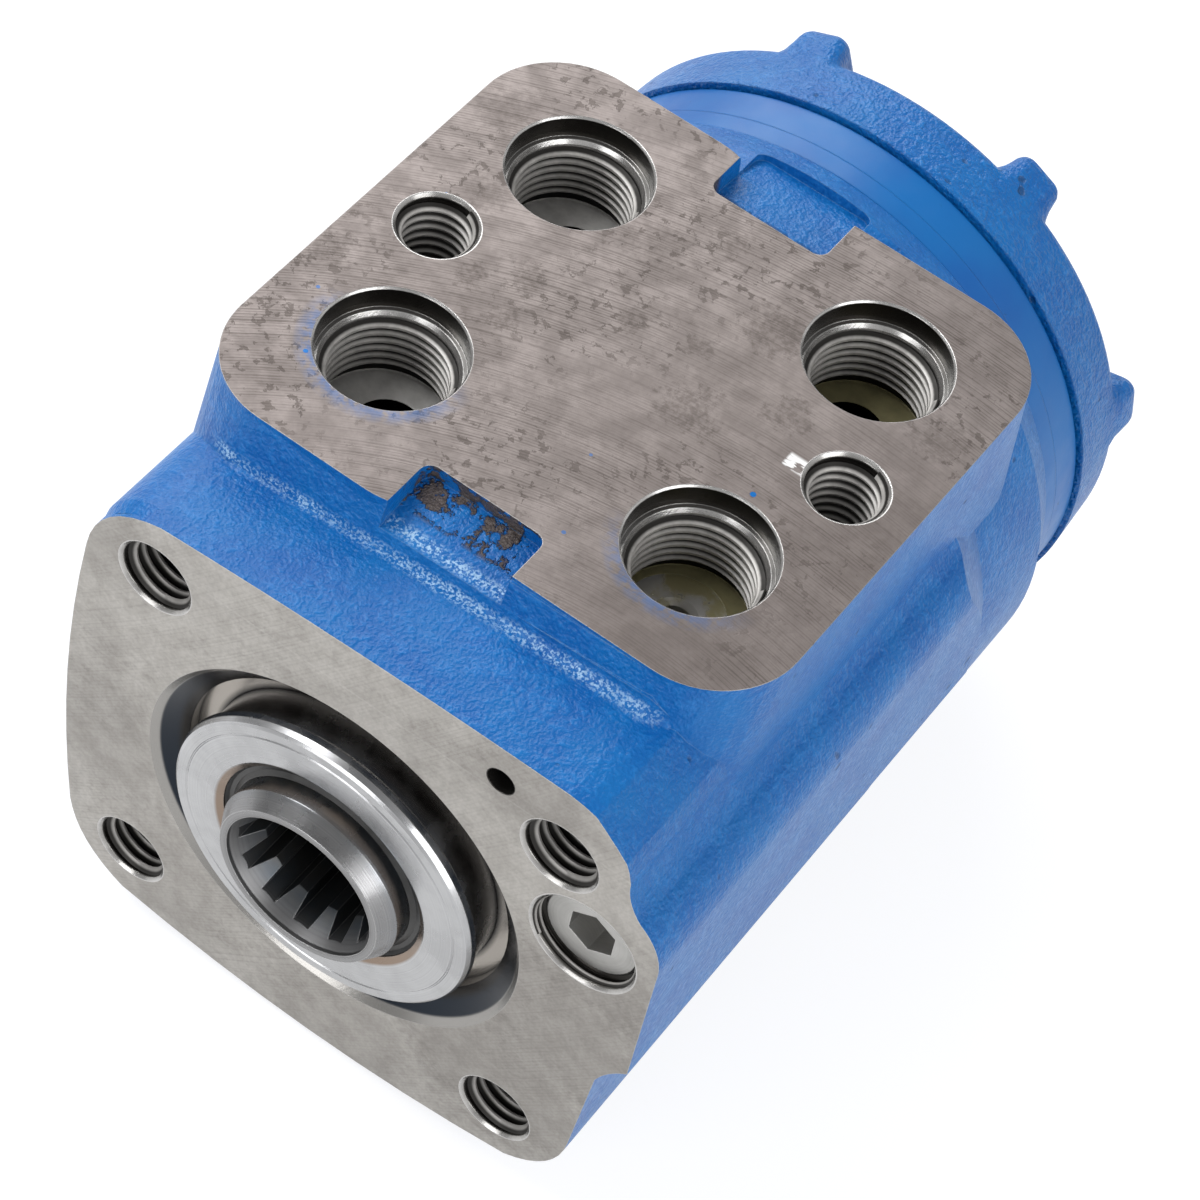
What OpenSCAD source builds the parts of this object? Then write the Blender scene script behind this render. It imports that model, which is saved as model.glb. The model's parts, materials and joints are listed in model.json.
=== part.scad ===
// Orbital steering unit: a rotary spool valve and an orbiting gear set in one
// cast housing. Origin on the shaft axis at the mounting face, +Y back along
// the shaft to the end cover, +Z out of the port face.

/* [Mounting face] */
// Distance between neighbouring column bolts
column_pitch = 58.34; // [57:0.01:59.5]
// Depth of the column bolt holes
column_bolt_depth = 19; // [14:0.5:22]
// Major diameter of the bolt threads
bolt_thread_d = 10; // [8:0.5:10]
// Half width of the mounting face
face_half_w = 40.8; // [40:0.1:42]
// Half height of the mounting face
face_half_h = 40.6; // [40:0.1:42]
// Radius of the dish round the gland at the mounting face
dish_r = 27.9; // [27:0.1:29]
// Depth of the dish
dish_depth = 4.9; // [4.2:0.1:5.4]

/* [Port face] */
// Height of the port face above the shaft axis
port_face_z = 46.9; // [46.5:0.1:50]
// Half width of the port face
pad_half_w = 39.3; // [38.5:0.1:40]
// Front edge of the port face
pad_front_y = 15.9; // [15:0.1:18]
// Rear edge of the port face
pad_rear_y = 87.8; // [86:0.1:90]
// Distance between ports across the shaft
port_pitch_x = 44.3; // [43:0.1:45]
// Distance between the port rows along the shaft
port_pitch_y = 38.06; // [37:0.01:39]
// Centre of the port pattern along the shaft
port_centre_y = 52.46; // [51:0.01:54]
// Major radius of the port thread
port_thread_r = 8.33; // [7.6:0.01:8.5]
// Radius of the spot face round each port
port_spot_r = 9.28; // [9:0.01:9.8]
// Depth of each port to its floor
port_depth = 14; // [13:0.1:15]
// Distance between the two bolt holes of the port face
top_bolt_pitch = 59.7; // [59:0.1:61]

/* [Housing] */
// Length of the housing
housing_len = 97.9; // [96:0.1:102]
// Radius of the housing's collar at its rear face
flange_r = 42.2; // [41.8:0.1:43]
// Radius of the valve sleeve
sleeve_r = 18; // [17.6:0.1:18.4]
// Side face of the relief valve boss, from the shaft axis
boss_x = 44.6; // [44:0.1:46]

/* [Gear set] */
// Outer radius of the plate and the gear ring
ring_r = 41.5; // [41.2:0.1:42.5]
// Thickness of the distribution plate
plate_t = 3.3; // [3:0.1:5]
// Thickness of the gear ring, which sets the displacement
ring_t = 5.2; // [5:0.1:12]
// Offset of the rotor's centre from the shaft axis
orbit_r = 2; // [1.8:0.05:2.05]
// Radius at which the ring's teeth are centred
tooth_circle_r = 25.5; // [25.3:0.1:25.8]
// Radius of one tooth of the ring
tooth_r = 6; // [5.8:0.1:6.3]

/* [End cover] */
// Thickness of the cover at its rim
cover_t = 10.6; // [10:0.1:13]
// Radius of the cover's rim
cover_r = 42.2; // [42:0.1:43]
// Height of the lugs behind the cover
lug_h = 5.1; // [4:0.1:7]
// Half width of one lug near its top
lug_half_w = 3.9; // [3.5:0.1:5]
// Radius at which the cover screws sit
screw_circle_r = 31.5; // [31.2:0.1:31.8]
// Shank diameter of the cover screws
screw_d = 8; // [7:0.5:8]

/* [Steering shaft end] */
// Radius of the spool's neck
neck_r = 13.15; // [12.9:0.01:13.3]
// How far the neck stands out of the mounting face
neck_out = 6.5; // [5.5:0.1:9]
// Tip radius of the spline's teeth
spline_tip_r = 8.73; // [8.5:0.01:8.9]
// Root radius of the spline
spline_root_r = 10.3; // [10:0.01:10.4]
// Radius of the gland's front flange
gland_flange_r = 22.2; // [21.9:0.1:22.8]
// Radius of the gland's body
gland_r = 21.2; // [21:0.1:21.5]

/* [Relief valve] */
// Relief valve axis across the shaft
relief_x = 34.7; // [34.4:0.1:35]
// Relief valve axis above the shaft
relief_z = 16.1; // [15.5:0.1:16.6]
// Thread radius of the relief plug
relief_thread_r = 6.6; // [6.3:0.1:6.7]
// Hexagon size of the plug's socket, across flats
hex_af = 6; // [5:0.5:7]

/* [Hidden] */
$fn = 96;

// Fits and small shared sizes
run_gap = 0.02;
seat_gap = 0.02;
loose_gap = 0.1;
over = 1;
eps = 0.01;
chip = 0.4;
seal_gap = 0.02;
cast_blue = [0.11, 0.43, 0.75];
steel = [0.62, 0.62, 0.64];
dark_steel = [0.4, 0.4, 0.42];
rubber = [0.06, 0.06, 0.06];

// Stations along the shaft
gland_front_y = -2.6;
gland_flange_rear_y = 0;
gland_rear_y = 8.9;
race_t = 1;
needle_r = 0.96;
front_race_y = gland_rear_y;
needle_y = front_race_y + race_t + run_gap + needle_r;
rear_race_y = needle_y + needle_r + run_gap;
sleeve_front_y = rear_race_y + race_t;
sleeve_end_gap = 0.3;
sleeve_rear_y = housing_len - sleeve_end_gap;
spool_rear_gap = 13;
spool_rear_y = sleeve_rear_y - spool_rear_gap;
plate_y = housing_len;
ring_y = plate_y + plate_t;
cover_y = ring_y + ring_t;
cover_rear_y = cover_y + cover_t;
lug_rear_y = cover_rear_y + lug_h;
spring_y = 24;
pin_y = 38;
rotor_y = ring_y + ring_t / 2;

// Casting
outline_shares = [
    [0.701, 1.01, 0.058], [0.941, 0.805, -0.015], [1, 0.66, 0.022]];
low_outline_shares = [
    [0.977, -0.63, 0.052], [0.784, -0.926, 0.073], [-0.735, -0.956, 0.049],
    [-0.964, -0.665, 0.041], [-0.964, 0.665, 0.066], [-0.711, 0.956, 0.017]];
boss_top_share = 0.5;
boss_low_share = -0.07;
boss_foot_share = -0.21;
boss_foot_x_share = 1.002;
boss_round_share = 0.022;
boss_foot_round_share = -0.012;
arc_steps = 8;
collar_r = 44.2;
collar_len = 19.7;
collar_front_y = housing_len - collar_len;
collar_taper = 5.2;
blend_slope = 0.53;
blend_len = 14;
flange_chamfer = 0.4;
corner_boss_r = 9.5;
corner_boss_start = 0.6;
corner_boss_full = 2.4;
corner_boss_len = 58;
pad_corner_r = 12;
pad_low_z = 24;
pad_left_step = 1.2;
skirt_drop = 0.5;
skirt_front_run = 6;
skirt_rear_run = 4.1;
crease_y = 14.4;
crease_z = 39.85;
crease_tilt = 2.2;
crease_yaw = 0.8;
crease_r = 2.6;
crease_back = 3;
crease_levels = [[34.2, 2.2, 3.1, 0.15], [31.6, 0.6, 0.85, 0.56], [28.6, 0, 0, 1],
    [-28.8, 0, 0, 1], [-31.4, 0.6, 0.6, 0.56], [-33.6, 1.8, 2.5, 0.15]];
notch_left_x = -8.9;
notch_right_x = 8.1;
notch_front_len = 7.3;
notch_rear_len = 7.8;
notch_depth = 2.6;
notch_tilt = 9;
notch_corner_r = 1.6;
notch_reach = 6;

// Bolt holes and ports
bolt_r = bolt_thread_d / 2;
bolt_mouth = 0.4;
drill_tip_share = 0.58;
top_bolt_depth = 17;
top_bolt_y_gap = 0.02;
vent_x = 20;
vent_z = 35.2;
vent_r = 1.9;
vent_depth = 9;
port_spot_depth = 3.3;
port_bevel = 0.6;
port_bevel_r = 8.7;
port_rim = 0.25;
port_relief_r_gap = 0.15;
port_relief_len = 1.6;
gallery_r = 4.5;
gallery_in = 1;
gallery_depth = 4;
drill_r = 4.3;
drill_y_step = 2;
drill_low_z = 3;
groove_y_step = 4.2;
groove_half_w = 2;
valve_groove_deep = 3.4;
valve_groove_r = sleeve_r + valve_groove_deep;
bearing_bore_r = gland_r + seat_gap;
dish_mouth = 0.8;
dish_floor_share = 0.864;
dish_step_share = 0.64;
rear_bore_gap = 1.5;
rear_bore_r = sleeve_r + rear_bore_gap;
rear_bore_len = 3;
commutator_y_gap = 9;

// Cover screws
screw_count = 7;
screw_start = 270;
screw_r = screw_d / 2;
screw_hole_gap = 0.25;
screw_depth = 15;
screw_tip_gap = 2;
washer_t = 1.4;
washer_r = 7;
head_r = 6.3;
head_h = 5;
head_chamfer = 0.5;
socket_r = 3.4;
socket_depth = 3;
hex_sides = 6;
pocket_r = 7.4;
pocket_floor_t = 6.8;
pin_nose_r = 2.5;
pin_nose_len = 1.5;

// Cover casting
cover_spigot_r = 40.6;
cover_spigot_t = 0.6;
cover_draft = 0.5;
cover_round = 1.6;
cover_dish_r = 20;
cover_dish_depth = 1.2;
cover_dish_slope = 3;
cover_land_r_share = 0.9;
lug_root_r = 36.8;
lug_root_depth = 4.5;
lug_out = -0.1;
lug_turns = [0, 0, 0, -0.5, -2.8, 0, 0];
lug_levels = [[0, 1.85, -0.3, 4.7], [0.3, 1.8, -0.3, 4.7], [0.42, 1.62, -0.28, 4.5],
    [0.48, 1.42, -0.22, 4], [0.55, 1.24, -0.12, 3.2], [0.65, 1.09, -0.04, 2.5], [0.78, 1, 0, 2],
    [0.86, 0.97, -0.06, 1.9], [0.93, 0.9, -0.3, 1.8], [0.975, 0.79, -0.75, 1.7],
    [1, 0.62, -1.4, 1.5]];

// Seals
o_ring_circle_r = 25.45;
o_ring_r = 0.8;
o_groove_half_w = 0.95;
o_groove_depth = 2 * o_ring_r + seal_gap;
wiper_rear_y = 1.7;
wiper_lip_y = -1.7;
shaft_seal_front_y = 3;
shaft_seal_rear_y = 6.4;
shaft_seal_w = 3.25;
shaft_seal_r = neck_r + shaft_seal_w;
seal_waist = 0.45;
gland_o_y = 6.8;
gland_o_r = 0.9;
gland_o_sink = 1.55;

// Gland
gland_round = 0.7;
gland_line_r = 20.1;
gland_line = 0.22;
wiper_w = 1.7;
gland_seat_r = neck_r + wiper_w;
gland_mouth_w = 1.1;
gland_mouth_r = gland_seat_r + gland_mouth_w;
gland_mouth_y = -1.9;
gland_edge = 0.3;

// Thrust bearing
race_in_r = 13.5;
race_out_r = 20.8;
cage_in_r = 13.8;
cage_out_r = 20.5;
cage_half_t = 0.6;
needle_count = 24;
needle_in_r = 14.8;
needle_out_r = 19.4;
needle_gap = 0.08;

// Spool
spool_r = 14;
spool_bore_r = 10.4;
spline_count = 12;
spline_turn = 1.5;
spline_floor_y = 14.6;
web_rear_y = 18.4;
neck_lip_r = 11.8;
neck_bevel_y = 2.3;
lip_bore_r = 10.8;
lip_bore_depth = 0.6;
lead_start = 0.9;
lead_depth = 5.7;
lead_end_r = 8.4;
spline_gap_tip_half = 10.2;
spline_gap_root_half = 6.4;
slot_half_w = 2.5;
slot_half_l = 3.2;
pin_r = 3.2;
pin_play_deg = 8;
pin_slack = 0.1;
sleeve_bore_r = spool_r + 0.012;
spool_groove_count = 6;
spool_groove_half_w = 1.6;
spool_groove_deep = 1.2;
spool_groove_front_y = 46;
spool_groove_rear_y = 78;
sleeve_hole_r = 1.4;
sleeve_hole_rows = [0.3, 0.62, 0.72, 0.92];
sleeve_hole_counts = [12, 6, 6, 12];
ring_groove_deep = 0.8;
ring_groove_r = sleeve_r - ring_groove_deep;
ring_groove_half_w = 3.6;
ring_outer_gap = 0.12;
pin_end_gap = 0.5;

// Centring springs
leaf_t = 0.7;
leaf_half_w = 3;
leaf_end_gap = 0.2;
curved_leaf_t = 0.6;
curved_leaf_bow = 1.05;

// Drive shaft
shaft_r = 7.2;
fork_r = 9;
fork_front_gap = 7.6;
fork_len = 16;
fork_slot_play = 0.35;
fork_slot_depth = 5.6;
drive_tip_r = 9.4;
drive_root_r = 7.9;
drive_len = 7.4;
drive_gap_tip_half = 8.2;
drive_gap_root_half = 5.2;
drive_play_deg = 1.6;
drive_play = 0.22;
disc_r = 7.3;
disc_t = 1.6;
disc_gap = 0.08;
shaft_disc_gap = 0.08;
rotor_gap = 0.04;
rotor_side_gap = 0.04;
rotor_steps = 144;
rotor_lobes = 6;
rotor_bunch = 4.8;
plate_bore_r = 12.2;
plate_hole_r = 2.2;
plate_hole_circle_r = 20.6;
shaft_tilt = atan(orbit_r / (rotor_y - pin_y));

// Relief valve
relief_mouth_r = 7.45;
relief_spot_r = 7.1;
relief_spot_depth = 1.9;
plug_rear_y = 12;
plug_edge = 0.35;
plug_rear_r = 5;
plug_socket_depth = 4.5;
plug_seal_t = 0.9;
relief_bore_r = 5.3;
relief_seat_y = 30;
relief_seat_t = 4;
relief_seat_hole_r = 1.9;
relief_chamber_len = 6;
poppet_r = 3.9;
poppet_len = 6;
poppet_nose = 2.2;
poppet_lift = 1.5;
poppet_guide_r = 1.9;
spring_wire_r = 0.7;
spring_coil_r = 3;
spring_turns = 6;
spring_steps = 20;
spring_sides = 8;
cross_drill_r = 2;

// Check valve in the pressure port
check_seat_r = 6.4;
check_seat_t = 5;
check_hole_r = 2.3;
check_flat = 0.7;
ball_r = 3.8;
ball_lift = 1.2;
stop_r = 1;
stop_hold = 1.2;
ball_room = 2;

port_front_y = port_centre_y - port_pitch_y / 2;
port_rear_y = port_centre_y + port_pitch_y / 2;
port_x = port_pitch_x / 2;
port_floor_z = port_face_z - port_depth;
seat_low_z = port_floor_z - check_seat_t;
ball_top_z = seat_low_z - sqrt(pow(ball_r, 2) - pow(check_hole_r, 2)) - seal_gap;
ball_z = ball_top_z - ball_lift;
stop_z = ball_z - ball_r - seal_gap - stop_r;
pocket_y = cover_y + pocket_floor_t;
head_y = pocket_y + washer_t;
screw_tip_y = plate_y - screw_depth + screw_tip_gap;
lug_out_r = cover_r + lug_out;

// Points of an arc from a to b, bowed to the left of the way by a sagitta
function bow(a, b, sag, n = arc_steps) =
    let(d = b - a, s = [-d[1], d[0]] / norm(d))
    [for (i = [0 : n - 1]) let(t = i / n) a + d * t + s * (4 * sag * t * (1 - t))];

// Points on a circle
function ring_points(r, a0, a1, n) =
    [for (i = [0 : n]) let(a = a0 + (a1 - a0) * i / n) [r * cos(a), r * sin(a)]];

// Outline of the casting across the shaft, seen from the front
function casting_outline(w, h, bx) =
    let(top = [for (p = outline_shares) [p[0] * w, p[1] * h, p[2] * w]],
        low = [for (p = low_outline_shares) [p[0] * w, p[1] * h, p[2] * w]],
        crest = [bx, boss_top_share * h],
        shelf = [bx, boss_low_share * h],
        foot = [boss_foot_x_share * w, boss_foot_share * h])
    concat(
        bow([top[0][0], top[0][1]], [top[1][0], top[1][1]], top[0][2]),
        bow([top[1][0], top[1][1]], [top[2][0], top[2][1]], top[1][2]),
        bow([top[2][0], top[2][1]], crest, boss_round_share * w),
        [crest],
        bow(shelf, foot, boss_foot_round_share * w),
        [foot],
        [for (i = [0 : len(low) - 2])
            each bow([low[i][0], low[i][1]], [low[i + 1][0], low[i + 1][1]], low[i][2])],
        bow([low[5][0], low[5][1]], [top[0][0], top[0][1]], low[5][2]));

// Toothed outline with straight flanks, its gaps centred on the given turn
function spline_outline(n, tip, root, gap_tip, gap_root, turn) =
    [for (k = [0 : n - 1], q = [[tip, -gap_tip], [root, -gap_root],
            [root, gap_root], [tip, gap_tip]])
        let(a = turn + 360 * k / n + q[1]) [q[0] * cos(a), q[0] * sin(a)]];

// Rotor outline: the path of a ring tooth seen from the rotor, moved in by
// the tooth's radius and the running gap
function rotor_point(t) =
    let(n = screw_count, e = orbit_r, big = tooth_circle_r,
        dx = -big * cos(t) + n * e * cos(n * t),
        dy = -big * sin(t) + n * e * sin(n * t),
        m = norm([dx, dy]), off = tooth_r + rotor_gap)
    [big * cos(t) - e * cos(n * t) + off * dx / m,
     big * sin(t) - e * sin(n * t) + off * dy / m];

function screw_angle(k) = screw_start + 360 * k / screw_count;

// A turned shape about the shaft axis from points of radius and station
module turned(points) {
    rotate([-90, 0, 0]) rotate_extrude() polygon(points);
}

// A round bar along the shaft axis
module bar(r, y0, y1) {
    translate([0, y0, 0]) rotate([-90, 0, 0]) cylinder(r = r, h = y1 - y0);
}

// A tapered bar along the shaft axis
module cone_bar(r0, r1, y0, y1) {
    translate([0, y0, 0]) rotate([-90, 0, 0]) cylinder(r1 = r0, r2 = r1, h = y1 - y0);
}

// A slab along the shaft whose outline lies across it
module slab(y0, y1) {
    translate([0, y1, 0]) rotate([90, 0, 0]) linear_extrude(y1 - y0) children();
}

// Turns its children about the shaft axis, from +X towards +Z
module around(a) {
    rotate([0, -a, 0]) children();
}

// Places its children at each cover screw
module at_screws(first = 0) {
    for (k = [first : screw_count - 1])
        around(screw_angle(k)) translate([screw_circle_r, 0, 0]) children();
}

// An upright box with round vertical corners, standing on z0
module round_box(x0, x1, y0, y1, z0, z1, r) {
    translate([x0 + r, y0, z0]) cube([x1 - x0 - 2 * r, y1 - y0, z1 - z0]);
    translate([x0, y0 + r, z0]) cube([x1 - x0, y1 - y0 - 2 * r, z1 - z0]);
    for (x = [x0 + r, x1 - r], y = [y0 + r, y1 - r])
        translate([x, y, z0]) cylinder(r = r, h = z1 - z0);
}

// A blind bolt hole from the origin along +Z, with its mouth and drill tip
module bolt_hole(depth) {
    translate([0, 0, -over]) cylinder(r = bolt_r, h = depth + over);
    translate([0, 0, depth - eps]) cylinder(r1 = bolt_r, r2 = 0, h = bolt_r * drill_tip_share);
    translate([0, 0, -over])
        cylinder(r1 = bolt_r + bolt_mouth + over, r2 = bolt_r, h = over + bolt_mouth);
}

// A port from the origin along -Z: spot face, bevel, thread bore and relief
module port_hole() {
    translate([0, 0, -port_spot_depth]) cylinder(r = port_spot_r, h = port_spot_depth + over);
    translate([0, 0, -port_rim]) cylinder(r1 = port_spot_r, r2 = port_spot_r + port_rim + over,
        h = port_rim + over);
    translate([0, 0, -port_spot_depth - port_bevel])
        cylinder(r1 = port_thread_r, r2 = port_bevel_r, h = port_bevel + eps);
    translate([0, 0, -port_depth]) cylinder(r = port_thread_r, h = port_depth);
    translate([0, 0, -port_depth])
        cylinder(r = port_thread_r + port_relief_r_gap, h = port_relief_len);
}

// One gallery from a port's floor down to its groove in the valve bore
module gallery(side, y, step) {
    in_x = side * (port_x - gallery_in);
    translate([in_x, y, port_floor_z - gallery_depth]) cylinder(r = gallery_r, h = gallery_depth + over);
    translate([in_x, y + step, drill_low_z])
        cylinder(r = drill_r, h = port_floor_z - gallery_depth - drill_low_z + eps);
}

// The squarish body, run out into a round collar at the rear
module casting_body() {
    intersection() {
        slab(0, collar_front_y) polygon(casting_outline(face_half_w, face_half_h, boss_x));
        turned([[0, -over], [collar_r + blend_slope * blend_len, -over],
            [collar_r + blend_slope * blend_len, collar_front_y - blend_len],
            [collar_r, collar_front_y + eps], [0, collar_front_y + eps]]);
    }
    turned([[0, collar_front_y - over], [collar_r, collar_front_y - over],
        [collar_r, housing_len - collar_taper], [flange_r, housing_len - flange_chamfer],
        [flange_r - flange_chamfer, housing_len], [0, housing_len]]);
    for (p = [[-1, -1], [1, -1], [-1, 1]])
        translate([p[0] * column_pitch / 2, 0, p[1] * column_pitch / 2]) turned([
            [0, corner_boss_start], [corner_boss_r - corner_boss_start, corner_boss_start],
            [corner_boss_r, corner_boss_full], [corner_boss_r, corner_boss_len],
            [0, corner_boss_len + corner_boss_r]]);
}

// One section of the fillet along the pad's front foot, at x across the shaft,
// its corner moved back and down, its size drawn in to a share
function crease_ring(x, back, fall, share) =
    let(y = crease_y + x * tan(crease_yaw) + back, z = crease_z + x * tan(crease_tilt) - fall,
        r = share * crease_r, deep = share * crease_back)
    concat([[x, y + deep, z - deep], [x, y + deep, z + r]],
        [for (i = [0 : arc_steps]) let(a = 90 * i / arc_steps)
            [x, y + r * (cos(a) - 1), z + r * (1 - sin(a))]],
        [[x, y - r, z - deep]]);

// A solid through rings of equal length, each clockwise seen from the one before
module loft(rings) {
    n = len(rings[0]);
    m = len(rings);
    sides = [for (i = [0 : m - 2], j = [0 : n - 1])
        let(a = i * n + j, b = i * n + (j + 1) % n) each [[a, b, b + n], [a, b + n, a + n]]];
    polyhedron(points = [for (r = rings) each r],
        faces = concat(sides, [[for (j = [0 : n - 1]) n - 1 - j]],
            [[for (j = [0 : n - 1]) (m - 1) * n + j]]));
}

// The raised port pad: walls, a flared skirt below and a fillet at its front foot
module casting_pad() {
    left_y = pad_front_y - pad_left_step;
    round_box(-pad_half_w, 0, left_y, pad_rear_y, pad_low_z, port_face_z, pad_corner_r);
    round_box(-pad_corner_r - over, pad_half_w, pad_front_y, pad_rear_y, pad_low_z, port_face_z,
        pad_corner_r);
    in_x = pad_half_w - pad_corner_r - eps;
    hull() {
        for (p = [[-in_x, left_y, 0, skirt_front_run], [in_x, pad_front_y, 0, skirt_front_run],
                [-in_x, pad_rear_y - 2 * pad_corner_r, 0, -skirt_rear_run],
                [in_x, pad_rear_y - 2 * pad_corner_r, 0, -skirt_rear_run]]) {
            translate([p[0], p[1] + pad_corner_r, port_face_z - 2 * skirt_drop])
                cylinder(r = pad_corner_r, h = skirt_drop, $fn = 32);
            translate([p[0], p[1] + pad_corner_r - p[3], pad_low_z])
                cylinder(r = pad_corner_r, h = skirt_drop, $fn = 32);
        }
    }
    loft([for (v = crease_levels) crease_ring(v[0], v[1], v[2], v[3])]);
}

// The two cast notches in the ends of the port face
module pad_notches() {
    floor_z = port_face_z - notch_depth;
    translate([0, pad_front_y + notch_front_len, floor_z]) rotate([notch_tilt, 0, 0])
        round_box(notch_left_x, notch_right_x, -notch_front_len - notch_reach, 0,
            0, notch_depth + notch_reach, notch_corner_r);
    translate([0, pad_rear_y - notch_rear_len, floor_z]) rotate([-notch_tilt, 0, 0])
        round_box(notch_left_x, notch_right_x, 0, notch_rear_len + notch_reach,
            0, notch_depth + notch_reach, notch_corner_r);
}

// Everything bored about the shaft axis
module shaft_bores() {
    floor_r = dish_r * dish_floor_share;
    turned([[0, -over], [dish_r + over, -over], [dish_r + over, 0], [dish_r, 0],
        [dish_r - dish_mouth, dish_mouth], [floor_r, dish_depth * dish_step_share],
        [floor_r, dish_depth], [bearing_bore_r, dish_depth],
        [bearing_bore_r, sleeve_front_y + eps], [0, sleeve_front_y + eps]]);
    bar(sleeve_r + run_gap, 0, housing_len + over);
    for (y = [port_front_y - groove_y_step, port_front_y + groove_y_step,
            port_rear_y - groove_y_step, port_rear_y + groove_y_step])
        bar(valve_groove_r, y - groove_half_w, y + groove_half_w);
    bar(rear_bore_r, housing_len - rear_bore_len, housing_len + over);
    for (k = [0 : screw_count - 1])
        around(screw_angle(k) + 180 / screw_count) translate([plate_hole_circle_r, 0, 0])
            bar(plate_hole_r, housing_len - commutator_y_gap, housing_len + over);
}

module relief_bores() {
    translate([relief_x, 0, relief_z]) {
        turned([[0, -over], [relief_mouth_r + over, -over], [relief_mouth_r + over, 0],
            [relief_mouth_r, 0], [relief_spot_r, relief_mouth_r - relief_spot_r],
            [relief_spot_r, relief_spot_depth], [relief_thread_r, relief_spot_depth + plug_edge],
            [relief_thread_r, plug_rear_y + plug_seal_t], [relief_bore_r, plug_rear_y + plug_seal_t],
            [relief_bore_r, relief_seat_y + relief_seat_t],
            [relief_seat_hole_r, relief_seat_y + relief_seat_t],
            [relief_seat_hole_r, relief_seat_y + relief_seat_t + relief_chamber_len],
            [0, relief_seat_y + relief_seat_t + relief_chamber_len + relief_seat_hole_r]]);
    }
    translate([port_x - gallery_in, relief_seat_y + relief_seat_t + cross_drill_r, relief_z])
        rotate([0, 90, 0]) cylinder(r = cross_drill_r, h = relief_x - port_x + gallery_in);
}

// Slot on both sides of the check valve's bore, in which the ball's stop lies
module stop_slot() {
    half_l = gallery_r + stop_hold + seat_gap;
    half_w = stop_r + seat_gap;
    rotate([0, 90, 0]) cylinder(r = half_w, h = 2 * half_l, center = true);
    translate([-half_l, -half_w, 0]) cube([2 * half_l, 2 * half_w, seat_low_z - stop_z]);
}

module housing() {
    color(cast_blue) difference() {
        union() {
            casting_body();
            casting_pad();
        }
        pad_notches();
        shaft_bores();
        relief_bores();
        for (x = [-1, 1], z = [-1, 1])
            translate([x * column_pitch / 2, 0, z * column_pitch / 2])
                rotate([-90, 0, 0]) bolt_hole(column_bolt_depth);
        for (x = [-1, 1])
            translate([x * top_bolt_pitch / 2, port_centre_y + top_bolt_y_gap, port_face_z])
                rotate([180, 0, 0]) bolt_hole(top_bolt_depth);
        translate([vent_x, 0, vent_z]) bar(vent_r, -over, vent_depth);
        for (x = [-1, 1], y = [port_front_y, port_rear_y])
            translate([x * port_x, y, port_face_z]) port_hole();
        gallery(-1, port_front_y, -drill_y_step);
        gallery(1, port_front_y, drill_y_step);
        gallery(-1, port_rear_y, -drill_y_step);
        gallery(1, port_rear_y, drill_y_step);
        translate([port_x - gallery_in, port_front_y, seat_low_z - eps])
            cylinder(r = check_seat_r + seat_gap, h = check_seat_t + over);
        translate([port_x - gallery_in, port_front_y, stop_z - ball_room])
            cylinder(r = gallery_r, h = seat_low_z - stop_z + ball_room);
        translate([port_x - gallery_in, port_front_y, stop_z]) stop_slot();
        at_screws() {
            bar(screw_r, housing_len - screw_depth, housing_len + over);
            cone_bar(0, screw_r, housing_len - screw_depth - screw_r * drill_tip_share,
                housing_len - screw_depth + eps);
        }
        turned([[o_ring_circle_r - o_groove_half_w, housing_len - o_groove_depth],
            [o_ring_circle_r + o_groove_half_w, housing_len - o_groove_depth],
            [o_ring_circle_r + o_groove_half_w, housing_len + over],
            [o_ring_circle_r - o_groove_half_w, housing_len + over]]);
    }
}

// Gland that closes the valve bore and holds the shaft's seals
module gland() {
    color(steel) difference() {
        turned([[gland_mouth_r, gland_front_y],
            [gland_line_r - gland_line, gland_front_y], [gland_line_r, gland_front_y + gland_line],
            [gland_line_r + gland_line, gland_front_y],
            [gland_flange_r - gland_round, gland_front_y],
            [gland_flange_r - gland_edge, gland_front_y + gland_edge],
            [gland_flange_r, gland_front_y + gland_round + gland_edge],
            [gland_flange_r, gland_flange_rear_y - gland_round],
            [gland_r, gland_flange_rear_y], [gland_r, gland_rear_y],
            [neck_r + loose_gap, gland_rear_y], [neck_r + loose_gap, shaft_seal_rear_y],
            [shaft_seal_r, shaft_seal_rear_y], [shaft_seal_r, shaft_seal_front_y],
            [neck_r + loose_gap, shaft_seal_front_y], [neck_r + loose_gap, wiper_rear_y],
            [gland_seat_r, wiper_rear_y], [gland_seat_r, gland_mouth_y]]);
        turned([[gland_r - gland_o_sink, gland_o_y - gland_o_r - seal_gap],
            [gland_r + over, gland_o_y - gland_o_r - seal_gap],
            [gland_r + over, gland_o_y + gland_o_r + seal_gap],
            [gland_r - gland_o_sink, gland_o_y + gland_o_r + seal_gap]]);
    }
}

module wiper_seal() {
    color(rubber) turned([[neck_r + seal_gap, wiper_lip_y],
        [neck_r + leaf_t, wiper_lip_y + chip], [gland_seat_r - chip, wiper_lip_y + chip],
        [gland_seat_r - seal_gap, wiper_lip_y], [gland_seat_r - seal_gap, wiper_rear_y - seal_gap],
        [neck_r + leaf_t, wiper_rear_y - seal_gap], [neck_r + seal_gap, wiper_rear_y - leaf_t]]);
}

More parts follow.
